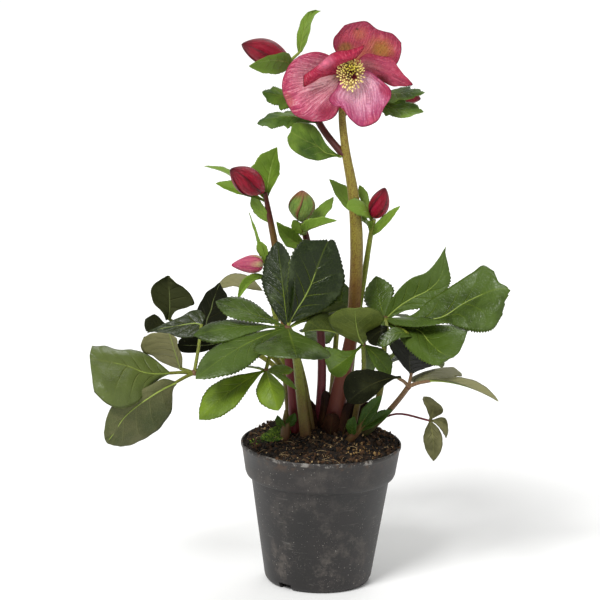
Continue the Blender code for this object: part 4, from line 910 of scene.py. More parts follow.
leafRight = {
    "node": "leaf_right", "slot": "leaf_dark", "stalk": "stemGreen", "skins": "dark",
    "common": dict(teeth=1.4, pitch=2.9, toothStart=0.3, tone=0.75),
    "petiole": [(33, 13, 112), (42, 10, 138), (45, 7, 168), (45, 0, 203)],
    "radii": [2.8, 2.4, 2, 2],
    "blades": [
        drawn((-0.18, -1, 0.45),
            (44, 0.5, 204, 45, 0, 203.5, 45.5, 0, 203, 45.5, -0.5, 202.5, 46.5, -0.5, 202),
            (49.5, -1.5, 218.5, 52, -1, 215.5, 54.5, -1.5, 212.5, 56.5, -2.5, 210.5, 58.5, -4.5, 210),
            (56.5, -3, 229, 60.5, -3, 225.5, 65, -3.5, 220.5, 69, -7, 217.5, 71, -9.5, 214.5),
            (64.5, -5.5, 236.5, 70, -6, 232.5, 75, -6, 226.5, 79.5, -10, 222.5, 82.5, -13, 219),
            (74.5, -8, 241.5, 78.5, -8, 238.5, 83, -8.5, 235, 87, -10.5, 231, 89.5, -11, 229.5),
            (82.5, -6.5, 251, 85, -7, 247.5, 86.5, -7.5, 244.5, 88.5, -8, 242, 92, -7.5, 238),
            (87, -3.5, 258.5, 87.5, -3.5, 259, 88, -3.5, 260, 88, -4, 257.5, 88, -4, 253.5),
            tone=1.1, smooth=-1),
        drawn((0.05, -1, 0.71),
            (45.5, 0, 203.5, 45.5, -0.5, 203, 45.5, -1, 202.5, 45.5, -1.5, 201.5, 45.5, -2, 201),
            (64, -8, 208.5, 64.5, -9.5, 207, 65.5, -11, 205.5, 66, -12, 204, 67, -13.5, 202.5),
            (77.5, -11, 221, 82, -14.5, 216, 85.5, -19, 210, 88, -22.5, 209, 90, -26, 207.5),
            (93, -14, 233, 97, -18.5, 225.5, 101, -21, 221, 101.5, -28.5, 214.5, 99.5, -32.5, 206.5),
            (107.5, -15, 243.5, 110, -20, 235.5, 113, -24, 228.5, 116.5, -36, 219.5, 111.5, -38.5, 205),
            (115.5, -12.5, 248.5, 120.5, -22.5, 242.5, 124, -28.5, 234.5, 126.5, -38.5, 225, 123, -41, 208),
            (123.5, -18, 246, 127, -25.5, 240, 134, -30.5, 236, 131.5, -35.5, 228, 129.5, -39.5, 218),
            tone=0.6, smooth=-1),
        drawn((0.19, -0.78, 1),
            (44, -3, 202, 44.5, -3.5, 202, 45, -4, 202, 45.5, -4.5, 202, 46, -5, 201.5),
            (55, -28.5, 196.5, 57, -25, 199, 60.5, -16.5, 200.5, 61, -17.5, 201.5, 62.5, -17.5, 203),
            (63.5, -45.5, 191, 66.5, -40, 197, 70, -22, 200.5, 72.5, -21.5, 202, 75.5, -22.5, 204.5),
            (72.5, -58.5, 187.5, 75, -56.5, 192.5, 78.5, -41, 195.5, 83.5, -33.5, 200.5, 88.5, -24.5, 206),
            (82.5, -67, 186.5, 84.5, -66, 190.5, 86.5, -55.5, 192.5, 93.5, -44, 199, 105, -25, 206),
            (89, -63, 188.5, 91.5, -62.5, 190.5, 94.5, -60.5, 191.5, 98.5, -56.5, 194, 102.5, -42.5, 198.5),
            tone=0.85, smooth=1),
        # A dark sheet for the curled underside where it lies in shadow: its darkness is painted shade.
        drawn((0.19, -0.78, 1),
            (47.5, -31.5, 205.5, 47, -33, 205, 46.5, -34, 204.5, 46, -35.5, 204, 46, -37, 203.5),
            (42, -40.5, 208.5, 42, -44, 207.5, 42, -47.5, 206.5, 41.5, -51, 205.5, 41, -54, 204.5),
            (35.5, -37.5, 206.5, 36, -43, 205, 37.5, -48, 204, 38.5, -54, 202.5, 39, -59.5, 201),
            (31.5, -38.5, 204, 32.5, -44, 202.5, 34, -50, 201, 35.5, -56, 200, 37.5, -61, 198.5),
            (30.5, -41, 201.5, 31, -45, 200.5, 31.5, -49.5, 199.5, 32.5, -53.5, 198.5, 34, -57, 198),
            tone=-0.6, teeth=0, plain=True, skins="shade"),
        drawn((0.19, -0.78, 1),
            (59.5, -25.5, 200.5, 61, -28, 200, 62, -30.5, 200, 63.5, -33, 199.5, 64.5, -35, 199),
            (53.5, -25.5, 203.5, 55, -29, 202.5, 56, -33.5, 201.5, 57, -37.5, 200.5, 57, -41, 199.5),
            (46.5, -32.5, 204, 48, -37, 203, 50, -42.5, 202, 51, -47, 201, 51.5, -50, 200),
            (41, -41.5, 203, 42.5, -46, 202, 44.5, -51.5, 200.5, 45.5, -55, 200, 46.5, -59, 199),
            (38, -52, 199.5, 39, -55, 199, 40.5, -58, 198.5, 41.5, -60, 198, 43, -61.5, 197.5),
            tone=0.9, teeth=0.3, plain=True),
        leaflet((38, 26, 229), 24, (-0.33, -1, 0.27), -2, -2, 4, -15, -2, 0.62, 0.88),
        leaflet((89, -38.5, 211.5), 18.5, (0.03, -0.25, 1), 1.5, 4, -7, -1, 1, 0.54, 0.69),
        leaflet((43.5, -41.5, 192), 18.5, (-0.16, -1, 0.79), 1, 2, 4, -23, -5, 0.69, 0.85),
    ],
}
leafRightLow = {
    "node": "leaf_right_low", "slot": "leaf_dusky", "stalk": "stemDusk", "skins": "dim",
    "common": dict(teeth=0.2, pitch=3.2, tone=0.3),
    "petiole": [(33, 1, 112), (47, -8, 131), (57, -25, 149), (63, -35, 161)],
    "radii": [2.6, 2.2, 2, 2],
    "blades": [
        leaflet((18.5, -57.5, 154), 31.5, (-0.54, -1, 0.62), 4.5, 2.5, 13, 34, 1, 0.71, 0.7,
                start=(56, -44, 170)),
        leaflet((65.5, 16, 179), 42.5, (0.31, -0.28, 1), -1.5, -1, 16, -4, 13, 0.66, 0.75,
                start=(65, -27, 168)),
        # These two leaflets are pale grey-green, lightened further by their tone as painted light against the
        # shade that leaf_right casts on them.
        leaflet((97.5, 11.5, 164), 40.5, (-0.37, -0.15, 1), 3, -1.5, -3, -21, 6, 0.57, 0.67, tone=1.3,
            skins="grey", start=(70, -28, 162)),
        leaflet((127.5, -74.5, 162.5), 16.5, (0.02, 0.02, 1), 5, 2, 19, 5, 2, 0.55, 0.75, tone=1.2,
            skins="grey", start=(78, -42, 168)),
    ],
}
leafSmall = {
    "node": "leaf_small", "slot": "leaf_dusky", "stalk": "stemPurple", "skins": "grey",
    "common": dict(teeth=0, pitch=2.6, cell=2.6, tone=0.42, rib=0.4),
    "petiole": [(36, 26, 110), (56, 10, 127), (80, -20, 131)],
    "radii": [0.9, 0.8, 0.8],
    "blades": [
        leaflet((78.5, -46, 156.5), 18, (-0.33, -1, 0.16), -3, 1.5, 6, -6, -6, 0.61, 0.83),
        leaflet((91.5, -41, 124), 13.5, (-1, -0.68, 0.12), -6, -3.5, 16, -2, 14, 0.59, 0.82),
        leaflet((83, -40.5, 106), 14.5, (-0.01, -1, 0.23), 3, -1, -10, 19, -9, 0.53, 0.77),
    ],
}
leafBack = {
    "node": "leaf_back", "slot": "leaf_dark", "stalk": "stemGreen", "skins": "dark",
    "common": dict(teeth=1.1, pitch=2.6, toothStart=0.4, tone=0.6),
    "petiole": [(6, 31, 113), (8, 46, 142), (10, 62, 176)],
    "radii": [2.6, 2.2, 2],
    "blades": [
        leaflet((14, 48, 218), 26, (-0.1, -1, 0.6), 0, 0, 8),
        leaflet((-14, 46, 176), 26, (-0.2, -0.8, 1), 2),
        leaflet((20, 128, 166), 42, (0, 0.4, 1), 10, 0, 10, -16, 0, 0.62),
        leaflet((66, 104, 176), 36, (0.3, 0.3, 1), 8, 0, 10),
        leaflet((-40, 108, 168), 38, (-0.2, 0.3, 1), 8, 0, 10),
    ],
}
leafBackLeft = {
    "node": "leaf_back_left", "slot": "leaf_dark", "stalk": "stemGreen", "skins": "dark",
    "common": dict(teeth=1.1, pitch=2.6, toothStart=0.4, tone=0.4),
    "petiole": [(-6, 42, 110), (-18, 54, 132), (-34, 66, 154)],
    "radii": [2.4, 2, 1.8],
    "blades": [
        leaflet((-76, 74, 172), 32, (-0.3, 0.2, 1), 6, 0, 8),
        leaflet((-70, 104, 150), 34, (-0.3, 0.4, 1), 8, 0, 8),
        leaflet((-26, 112, 138), 32, (0, 0.6, 1), 8, 0, 8),
    ],
}
leafBackRight = {
    "node": "leaf_back_right", "slot": "leaf_dark", "stalk": "stemGreen", "skins": "dark",
    "common": dict(teeth=1.1, pitch=2.6, toothStart=0.4, tone=0.7),
    "petiole": [(22, 38, 110), (34, 50, 130), (46, 62, 150)],
    "radii": [2.4, 2, 1.8],
    "blades": [
        leaflet((84, 62, 168), 32, (0.3, 0.2, 1), 6, 0, 8),
        leaflet((92, 96, 140), 34, (0.4, 0.4, 1), 8, 0, 8),
        leaflet((48, 112, 136), 32, (0, 0.6, 1), 8, 0, 8),
    ],
}


stalkShape = {"least": 2.0, "rise": 0.4, "lap": 1.2, "radii": [1.4, 1.2], "sides": 10, "hub": 1.15}


def makeLeaf(name, leaf):
    stalk = palette[leaf["stalk"]]
    hub = Vector(leaf["petiole"][-1])
    parts = [stem(name + "Petiole", plantedPath(leaf["petiole"], leaf["radii"]), stalk),
             knuckle(name + "Hub", hub, leaf["radii"][-1] * stalkShape["hub"], palette["knot"])]
    for i, row in enumerate(leaf["blades"]):
        row = {"skins": leaf["skins"], **leaf["common"], **row, "seed": i * 3.7 + len(name)}
        skins = skinsOf(row)
        lines, base = row.get("lines"), hub
        start = Vector(lines[0][2] if lines else row.get("start", hub))
        if (start - hub).length > stalkShape["least"]:
            away = (start - Vector(lines[1][2] if lines else row["tip"])).normalized()
            way = [hub, hub.lerp(start, 0.5) + Vector((0, 0, stalkShape["rise"])), start - away]
            path = sizedPath(way, stalkShape["radii"])
            parts.append(stem(f"{name}Stalk{i}", path, stalk, stalkShape["sides"]))
            base = start + away * stalkShape["lap"]
        label = f"{name}Blade{i}"
        parts.append(drawnBlade(label, row, skins) if lines else blade(label, base, row, skins))
    dress(joined(name, parts), [leaf["node"]], leaf["slot"])


leaves = {
    "leafLeftLow": leafLeftLow, "leafLeftBack": leafLeftBack, "leafFront": leafFront,
    "leafLowFront": leafLowFront, "leafMiddle": leafMiddle, "leafRight": leafRight,
    "leafRightLow": leafRightLow, "leafSmall": leafSmall, "leafBack": leafBack,
    "leafBackLeft": leafBackLeft, "leafBackRight": leafBackRight,
}
for leafName, leafTable in leaves.items():
    makeLeaf(leafName, leafTable)
print("leaves ready")


# Flower stems with their leafy bracts

bractCommon = {
    "teeth": 0.4, "pitch": 2.0, "lobes": 3.4, "lobed": 0.12, "tone": 0.78, "uneven": 0.2, "thick": 0.45,
    "cell": 2.4, "groove": 0.25, "rib": 0.5, "stalk": 1.3, "point": 0.15, "ripple": 0.9, "skins": "bract",
}
sheathCommon = {
    "fold": -24, "curl": -30, "bow": -1, "teeth": 0.2, "pitch": 3.0, "widest": 0.4, "fullness": 0.5,
    "stalk": 5.0, "uneven": 0.3, "ripple": 1.6, "thick": 0.9, "tone": 0.4,
}


def nearestOn(paths, point):  # the nearest place on the middle of any of the paths
    found = []
    for path in paths:
        for (a, _), (b, _) in zip(path, path[1:]):
            share = (point - a).dot(b - a) / (b - a).length_squared
            found.append(a.lerp(b, min(1.0, max(0.0, share))))
    return min(found, key=lambda place: (place - point).length)


flowerStemMain = {
    "node": "flower_stem_main", "slot": "stem_red", "skin": "stem",
    "common": dict(lobed=0.34, teeth=0.8, tone=0.45),
    "path": [(9, 5, 116), (13, 3.5, 146), (20, 2, 186), (22.5, 2, 230), (22, 1, 266), (18.5, 0, 299),
             (12, 0, 332), (9, 3, 362), (13.6, -5.1, 388.9), (13.8, -9.5, 389.5), (13.9, -12.1, 389.8)],
    "radii": [7.6, 6.4, 4.7, 4.8, 4.8, 4.0, 3.1, 2.6, 2.3, 2, 1.9],
    "branches": [
        ([(11, 0, 326), (-5, 8, 344), (-16, 14, 364), (-25, 14, 383), (-29.5, 12.4, 393.6)], [2.9, 2.4, 1.8]),
        ([(9.2, 2, 354), (18, 9.5, 363.5), (32, 16, 368.8), (46.5, 20, 368.4)], [1.7, 1.4, 1.2]),
    ],
    "bracts": [
        drawn((-1, -0.8, 0.16),
            (-24.5, 11.5, 400, -23.5, 10.5, 400.5, -23, 9.5, 400.5, -22, 8.5, 400.5, -21.5, 7.5, 401),
            (-25.5, 11.5, 407, -24, 10.5, 407.5, -22, 9, 407.5, -20, 6, 408, -18.5, 2, 408.5),
            (-25, 11.5, 415, -22.5, 9.5, 415.5, -20.5, 7.5, 416, -18, 4, 415.5, -16.5, 0, 415.5),
            (-22.5, 9.5, 424, -20.5, 8, 424, -18.5, 6, 424, -17, 3, 423, -15.5, 0, 422),
            (-18.5, 4.5, 430.5, -16.5, 3.5, 430.5, -15, 2.5, 430, -14.5, 0.5, 429.5, -13.5, -2, 428),
            (-13.5, -2, 434, -12.5, -1.5, 433.5, -12.5, -1, 433, -12, -2.5, 432.5, -11.5, -4.5, 431.5),
            (-9, -5.5, 434, -9, -5.5, 434, -9, -5.5, 434, -8.5, -6, 434, -8.5, -6, 434),
            tone=1, teeth=0.2),
        bract((-28, 10, 390), (-59.5, -28.5, 396.5), 22, (-0.01, -1, 0), -0.5, 3.5, 23, 28, -8, 0.52, 0.72,
            tone=1.5, lobed=0.1, teeth=0.3),
        bract((-17, 13, 364), (-50, 4.5, 371), 21, (-0.3, -1, 0.65), 1, -1, -19, -2, 5, 0.54, 0.75),
        bract((-8, 8, 347), (-53, -2, 348.5), 21.5, (-0.19, -0.69, 1), 6, 2, -17, -1, 6, 0.63, 0.76),
        drawn((0.09, -1, 0.86),
            (8.5, -4, 326.5, 8.5, -2.5, 326, 8.5, -2, 325.5, 8.5, -2.5, 326, 8.5, -4, 326),
            (4, -5, 329.5, 4, -4.5, 328.5, 3.5, -4.5, 327.5, 3, -6.5, 326.5, 2.5, -9, 326.5),
            (-2, -5.5, 335.5, -2, -6.5, 332, -2.5, -8, 329.5, -3, -11.5, 327.5, -4, -15.5, 326),
            (-7.5, -2.5, 344, -7.5, -5, 339, -8.5, -9, 334.5, -10, -15, 330.5, -11.5, -21.5, 326.5),
            (-13.5, -3, 349.5, -15, -7, 344, -16, -12, 338.5, -18, -18.5, 334, -19.5, -25.5, 330),
            (-20, -7, 351.5, -22, -10.5, 347.5, -23.5, -15, 343, -25, -20.5, 339, -27, -27.5, 335.5),
            (-26, -12, 351.5, -27.5, -13.5, 349.5, -28.5, -16.5, 346, -30, -21, 343.5, -30.5, -25.5, 341.5),
            tone=0.5, teeth=0.25),
        bract((39, 16, 369.5), (69, -5, 375.5), 22, (0.09, -0.67, 1), 2, 2.5, -8, 0, -1, 0.43, 0.72),
        bract((30, 14, 368), (68.5, -5, 361), 25.5, (0.34, -0.9, 1), -2, 3.5, -1, 14, -9, 0.6, 0.88),
    ],
    "sheaths": [
        bract((0, 4, 106), (2, 2, 146), 17, (-0.4, -1, 0)),
        bract((14, -4, 106), (24, -5, 142), 19, (0.2, -1, 0)),
        bract((6, -5, 106), (8, -8, 131), 20, (0, -1, 0.1)),
        bract((22, 6, 106), (36, 8, 136), 16, (0.6, -1, 0)),
        bract((-8, 6, 106), (-12, 4, 134), 17, (-0.2, -1, 0)),
        bract((8, 14, 106), (10, 22, 138), 20, (0, 1, 0.1)),
        bract((18, 14, 106), (28, 24, 132), 16, (0.4, 1, 0.1)),
        bract((-4, 14, 106), (-12, 22, 134), 16, (-0.4, 1, 0.1)),
    ],
}
flowerStemLeft = {
    "node": "flower_stem_left", "slot": "stem_red", "skin": "stemLeft",
    "path": [(-20, 2, 113), (-23, 0, 152), (-31, 4, 208), (-37, 8, 250), (-43.5, 7, 282), (-46, 4, 295.5)],
    "radii": [4.3, 3.6, 3, 2.8, 2.1, 1.6],
    "bracts": [
        bract((-44.5, 7, 289), (-38, 23.5, 326), 31.5, (-0.25, -1, 0.17), -5, -3, 37, 12, -7, 0.57, 0.93),
        bract((-45, 6, 290), (-92, 24.5, 310), 11.5, (0.16, -0.27, 1), 4, 1.5, 12, 9, 6, 0.56, 0.79),
        bract((-44.5, 7, 288), (-83, 16, 299), 11, (-0.37, -0.83, 1), -2, 2.5, 19, 17, -1, 0.64),
        bract((-42.5, 7, 271), (-56, 13.5, 291.5), 11, (-0.86, -1, 0.48), 2.5, 0, 3, 13, -6, 0.58, 0.73),
    ],
}
flowerStemCentre = {
    "node": "flower_stem_centre", "slot": "stem_red", "skin": "stemPurple",
    "path": [(-2, 14, 114), (-1, 10, 136), (-1, 8, 168), (-5, 5, 215), (-12, 0, 250), (-15, -2, 264),
             (-18, -3, 275)],
    "radii": [4.2, 3.6, 3.2, 3, 2.8, 2.6, 2.2],
    "bracts": [
        bract((-16.5, -2, 272), (4.5, 16.5, 291), 13, (-0.79, -1, 0.62), -3, 0, 6, 3, -4, 0.58, 0.86),
        bract((-15, -4, 266), (7, -29.5, 283.5), 15.5, (-0.45, -1, 0.63), 8.5, 2, 33, 37, -16, 0.52, 0.69),
        bract((-14.5, -2, 256), (-37, -23.5, 280.5), 17, (-0.16, -1, 0.49), -2, -3.5, 27, 24, -4, 0.54, 0.89),
        bract((-15.5, -1, 268), (-25, -9, 278.5), 9.5, (0.44, -1, 0.45), -0.5, -1.5, -5, 5, 0, 0.59, 0.74),
    ],
}
flowerStemRight = {
    "node": "flower_stem_right", "slot": "stem_red", "skin": "stemGreen",
    "path": [(18, 23, 113), (22, 17, 174), (26, 14, 210), (29.5, 11, 238), (32.3, 7.5, 262),
             (34.6, 4.4, 277.3)],
    "radii": [2.8, 2.4, 2.3, 2.2, 1.9, 1.7],
    "bracts": [
        bract((32, 5, 270), (1, 19.5, 303.5), 16, (0.63, -1, 0.75), -4.5, 2.5, 12, 13, 2, 0.61, 0.84),
        bract((32.5, 4, 266), (14, -18.5, 291.5), 15.5, (0, -0.8, 1), 7.5, 4.5, 2, -7, -6, 0.68, 0.6),
        bract((34, 4, 275), (23.5, 15.5, 300.5), 7, (0.01, -1, 0.23), 0.5, 0, -2, 1, -1, 0.71),
        bract((32.5, 6, 264), (53.5, -4.5, 290), 8.5, (-0.26, -1, 0.44), 1, 0.5, 18, 12, -14, 0.49, 0.71),
        bract((32, 0, 262), (29, -6, 279), 6, (-0.33, -1, 0.01), -3, 0, -5, -9, 5, 0.69, 0.81),
    ],
}
flowerStemLow = {
    "node": "flower_stem_low", "slot": "stem_red", "skin": "stemGreen",
    "path": [(-24, 17, 111), (-28, 17, 150), (-36, 15, 196), (-42, 12, 222), (-43, 9, 235),
             (-45.5, 8, 240.5)],
    "radii": [2.4, 2, 1.8, 1.5, 1.3],
    "bracts": [
        bract((-43.5, 10, 234), (-51, 11, 257.5), 11, (-0.9, -1, 0.05), -2, 2, 28, -12, 16, 0.69, 0.88),
        bract((-43, 9, 229), (-64, -14, 218.5), 10.5, (-0.14, -0.69, 1), 4, 3.5, 28, 34, -8, 0.52, 0.67),
        bract((-42, 11, 232), (-58, 12, 279), 4, (-1, -1, 0.2), -1, 0, 0, 0, 0, 0.4),
    ],
}
shootLeft = {
    "node": "shoot_left", "slot": "bract_green", "skin": "stemGreen",
    "common": dict(tone=0.25),
    "path": [(-27, -7, 110), (-26.5, -7, 124), (-27, -8, 133)],
    "radii": [3.6, 3.6, 2.6, 1],
    "bracts": [
        bract((-26, -7, 118), (-20, -12, 132), 9, (0.3, -1, 0.2), 0, 0, 24),
        bract((-27, -7, 116), (-33, -12, 130), 8, (-0.5, -1, 0.2), 0, 0, 24),
    ],
}
shootRight = {
    "node": "shoot_right", "slot": "bract_green", "skin": "stemGreen",
    "common": dict(tone=0.25),
    "path": [(22, -13, 111), (29, -16, 124), (37, -19, 138)],
    "radii": [3, 3, 2.2, 1.4],
    "bracts": [
        bract((26, -15, 119), (44, -22, 150), 12, (-0.3, -1, 0.4), 2, 0, 26),
        bract((25, -14, 118), (52, -18, 138), 10, (-0.3, -1, 0.4), 2, 0, 26),
        bract((23, -14, 115), (24, -20, 133), 10, (-0.3, -1, 0.4), 2, 0, 26),
    ],
}


shaftShape = {"sides": 20, "bumps": 0.16}
neckShape = {"radii": [1.2, 1.0], "sides": 8}  # from a drawn bract to its stem


def makeFlowerStem(name, table):
    paths = [plantedPath(table["path"], table["radii"])]
    parts = [stem(name + "Shaft", paths[0], palette[table["skin"]], shaftShape["sides"], shaftShape["bumps"])]
    for i, (points, radii) in enumerate(table.get("branches", [])):
        paths.append(sizedPath(points, radii))
        parts.append(stem(f"{name}Branch{i}", paths[-1], palette["stemPurple"]))
    for i, row in enumerate(table["bracts"]):
        row = {**bractCommon, **table.get("common", {}), **row, "seed": i * 5.1 + len(name)}
        skins = skinsOf(row)
        if "lines" in row:
            first = Vector(row["lines"][0][2])
            neck = sizedPath([nearestOn(paths, first), first], neckShape["radii"])
            parts.append(drawnBlade(f"{name}Bract{i}", row, skins))
            parts.append(stem(f"{name}Neck{i}", neck, skins[2], neckShape["sides"], 0.0))
        else:
            parts.append(blade(f"{name}Bract{i}", nearestOn(paths, Vector(row["base"])), row, skins))
    for i, row in enumerate(table.get("sheaths", [])):
        row = {**sheathCommon, **row, "seed": i * 2.3}
        parts.append(blade(f"{name}Sheath{i}", row["base"], row, [palette["sheath"]] * 3))
    dress(joined(name, parts), [table["node"]], table["slot"])


flowerStems = {
    "flowerStemMain": flowerStemMain, "flowerStemLeft": flowerStemLeft,
    "flowerStemCentre": flowerStemCentre, "flowerStemRight": flowerStemRight,
    "flowerStemLow": flowerStemLow, "shootLeft": shootLeft, "shootRight": shootRight,
}
for stemName, stemTable in flowerStems.items():
    makeFlowerStem(stemName, stemTable)
print("flower stems ready")


# The open bloom

bloomPlace = {"centre": (14.0, -14.0, 390.0), "axis": (0.05, -1.0, 0.12)}
bloomTurned = {  # steps and (radius, height) points, from the bloom's centre outwards
    "bloomCup": (48, [(0, -1.5), (6.4, -1.3), (7.4, -0.6), (7.4, 0.2), (6.0, 1.0), (4.4, 2.0), (0, 2.2)]),
    "stamenRing": (36, [(3.1, 2.6), (4.4, 2.4), (5.6, 2.8), (5.8, 4.2), (4.6, 5.2), (3.2, 4.4), (3.1, 2.6)]),
    "pistilFoot": (20, [(0, 1.6), (3.6, 1.6), (3.2, 3.4), (1.6, 4.4), (0, 4.6)]),
}
sepalRuffle = 0.5


def turnedMesh(name, profile, steps, skin, frame=None):  # from (radius, height) points, closed at the axis
    shape = bmesh.new()
    points = [shape.verts.new((radius * mm, 0, height * mm)) for radius, height in profile]
    edges = [shape.edges.new(pair) for pair in zip(points, points[1:])]
    bmesh.ops.spin(shape, geom=[*points, *edges], cent=(0, 0, 0), axis=(0, 0, 1), angle=math.tau, steps=steps,
                   use_merge=True)
    bmesh.ops.remove_doubles(shape, verts=shape.verts, dist=1e-6)
    bmesh.ops.recalc_face_normals(shape, faces=shape.faces)
    if frame:
        bmesh.ops.transform(shape, matrix=frame, verts=shape.verts)
    return newObject(name, meshOf(name, shape, skin))


def bloomPoint(across, up, out):  # a place from the bloom's centre, in its plane and along its axis
    axis = Vector(bloomPlace["axis"]).normalized()
    right = (Vector((1, 0, 0)) - axis * axis.x).normalized()
    above = axis.cross(right)
    above = -above if above.z < 0 else above
    return Vector(bloomPlace["centre"]) + right * across + above * up + axis * out


def bloomFrame(out):  # the bloom's own axes, z out along its axis
    right = (bloomPoint(1, 0, 0) - bloomPoint(0, 0, 0)).normalized()
    axis = Vector(bloomPlace["axis"]).normalized()
    turn = Matrix((right, axis.cross(right), axis)).transposed().to_4x4()
    return Matrix.Translation(bloomPoint(0, 0, out) * mm) @ turn


def bloomBase(name, skin):
    steps, profile = bloomTurned[name]
    return turnedMesh(name, profile, steps, palette[skin], bloomFrame(0))


# Each sepal has its front, its back and lines across it, from its base to its rim
sepals = {
    "sepalLeft": ("sepalPale", "sepalBack", lined(
        (11.5, -14.5, 392.5, 11, -14.5, 391, 10, -14, 389.5, 11, -14.5, 388, 12.5, -14.5, 387),
        (7, -14.5, 397, 5, -14, 392.5, 3.5, -13.5, 388, 5.5, -14, 384, 8.5, -14.5, 381.5),
        (0.5, -16, 402.5, -5, -15, 394.5, -7, -14, 384.5, -3, -15.5, 375.5, 8, -14, 371),
        (-8.5, -17, 406, -17.5, -17, 397, -20, -15.5, 384, -13, -18, 367.5, 5, -13, 359.5),
        (-17, -16, 405, -25.5, -18, 398.5, -29, -17, 382, -19.5, -18.5, 361.5, -2, -14, 354.5),
        (-23.5, -14, 402, -31, -16, 395, -35.5, -15, 378.5, -27, -16.5, 360, -13, -16, 354))),
    "sepalLower": ("sepalBlush", "sepalBack", lined(
        (11.5, -14.5, 389.5, 14, -14.5, 389.5, 15.5, -14, 389, 17, -14.5, 389.5, 18, -14.5, 390),
        (6.5, -15.5, 385.5, 12.5, -14.5, 384.5, 17.5, -14, 384, 22.5, -14.5, 387, 26.5, -15.5, 393),
        (4.5, -18, 380, 11, -17, 380, 19.5, -15, 377.5, 29.5, -16, 384, 35.5, -17, 387),
        (-1, -21, 372.5, 8.5, -20, 373.5, 20, -17, 369.5, 32.5, -19, 377, 43, -19, 381),
        (2.5, -22, 367.5, 11.5, -22, 369, 22, -20, 362, 32.5, -21, 368, 44, -20, 374.5),
        (9, -23, 367.5, 14.5, -24, 358.5, 23.5, -23, 352.5, 34.5, -23, 357, 39, -22, 367))),
    "sepalRight": ("sepalMauve", "sepalBack", lined(
        (16, -14.5, 393.5, 16.5, -14, 392, 17.5, -14, 390.5, 17.5, -14, 390, 17, -14.5, 388.5),
        (21.5, -14.5, 402.5, 23, -13.5, 399.5, 24, -13, 395.5, 24, -13, 392.5, 22.5, -13.5, 389),
        (27, -16, 405.5, 29.5, -15, 400.5, 31, -14, 396, 30.5, -12, 392.5, 29, -11, 388.5),
        (36, -17, 404, 38, -17, 399, 40, -17, 394, 38.5, -14, 389, 36, -11, 385),
        (43, -18, 403.5, 46, -19, 397.5, 48, -20, 391, 46.5, -17, 386, 44, -14, 381.5),
        (47, -18, 398, 53, -21, 391.5, 59.5, -22, 385, 56, -20, 383, 50.5, -17, 382))),
    "sepalTop": ("sepalOlive", "sepalBack", lined(
        (11, -13, 393, 12.5, -13, 394, 13.5, -12.5, 394, 15, -12.5, 394, 16.5, -13, 393.5, 18, -13, 393),
        (6.5, -12, 398.5, 10, -11.5, 400, 15, -11, 400, 20, -11, 399.5, 24, -11.5, 398.5, 27, -12, 396.5),
        (3.5, -12, 404.5, 10, -10, 406, 17, -10, 406.5, 26.5, -10, 405.5, 35.5, -11, 402, 42.5, -13, 397),
        (1, -13, 410.5, 8, -11, 412, 18.5, -11.5, 413.5, 30.5, -10.5, 412.5, 40, -12, 407.5, 47.5, -15, 398),
        (2, -15, 417, 9.5, -13, 419.5, 21, -13.5, 421.5, 32.5, -12, 418, 43.5, -15, 413.5, 50.5, -16, 406.5),
        (9, -17, 426, 15.5, -16, 428, 25, -15.5, 429, 33, -14, 423, 43.5, -17, 421, 50.5, -18, 414.5))),
    "sepalHood": ("sepalBack", "sepalMauve", lined(
        (14.5, -15, 395, 12.5, -15, 394.5, 11, -15, 392.5, 9.5, -15, 391, 9.5, -15, 390),
        (16.5, -17, 400.5, 10.5, -16, 398.5, 7, -15.5, 395.5, 3, -15.5, 392.5, 1.5, -15.5, 389),
        (18.5, -22, 403.5, 13, -22, 401, 5.5, -21, 397, -1, -20, 392.5, -7, -20, 387.5),
        (23, -28, 410.5, 15, -28, 404, 6, -27, 400.5, -5, -26, 394.5, -18.5, -24, 381.5),
        (23.5, -30, 413, 14, -30, 407.5, 3.5, -29.5, 404, -9, -28, 396.5, -20, -26, 385.5),
        (23, -27, 414, 13, -26, 410, 0.5, -25, 407, -9.5, -25, 398, -20, -24, 389.5))),
}


def makeSepals():
    parts = [bloomBase("bloomCup", "sepalBack")]
    for name, (front, back, lines) in sepals.items():
        parts.append(sheetMesh(name, lines, [palette[front], palette[back]], ruffle=sepalRuffle))
    dress(joined("bloomSepals", parts), ["bloom_sepals"], "sepal_pink")


makeSepals()

stamenShape = {
    "Count": 150, "Foot": 4.2, "Spread": 10.2, "Reach": 10.0, "Droop": 6.5, "Gap": 2.6,
    "Pistil": (2.6, -1.6, 0.0), "Thread": 0.25, "Anther": 0.74, "Seed": 5,
    "Thread Skin": None, "Anther Skin": None,
}


stamenLayout = {
    "goldenAngle": 137.5, "jitterLow": (-0.7, -0.7, -1.3), "jitterHigh": (0.7, 0.7, 0.9), "flat": 0.85,
    "up": 3.2, "dome": 4.5, "sag": 2.0,
}


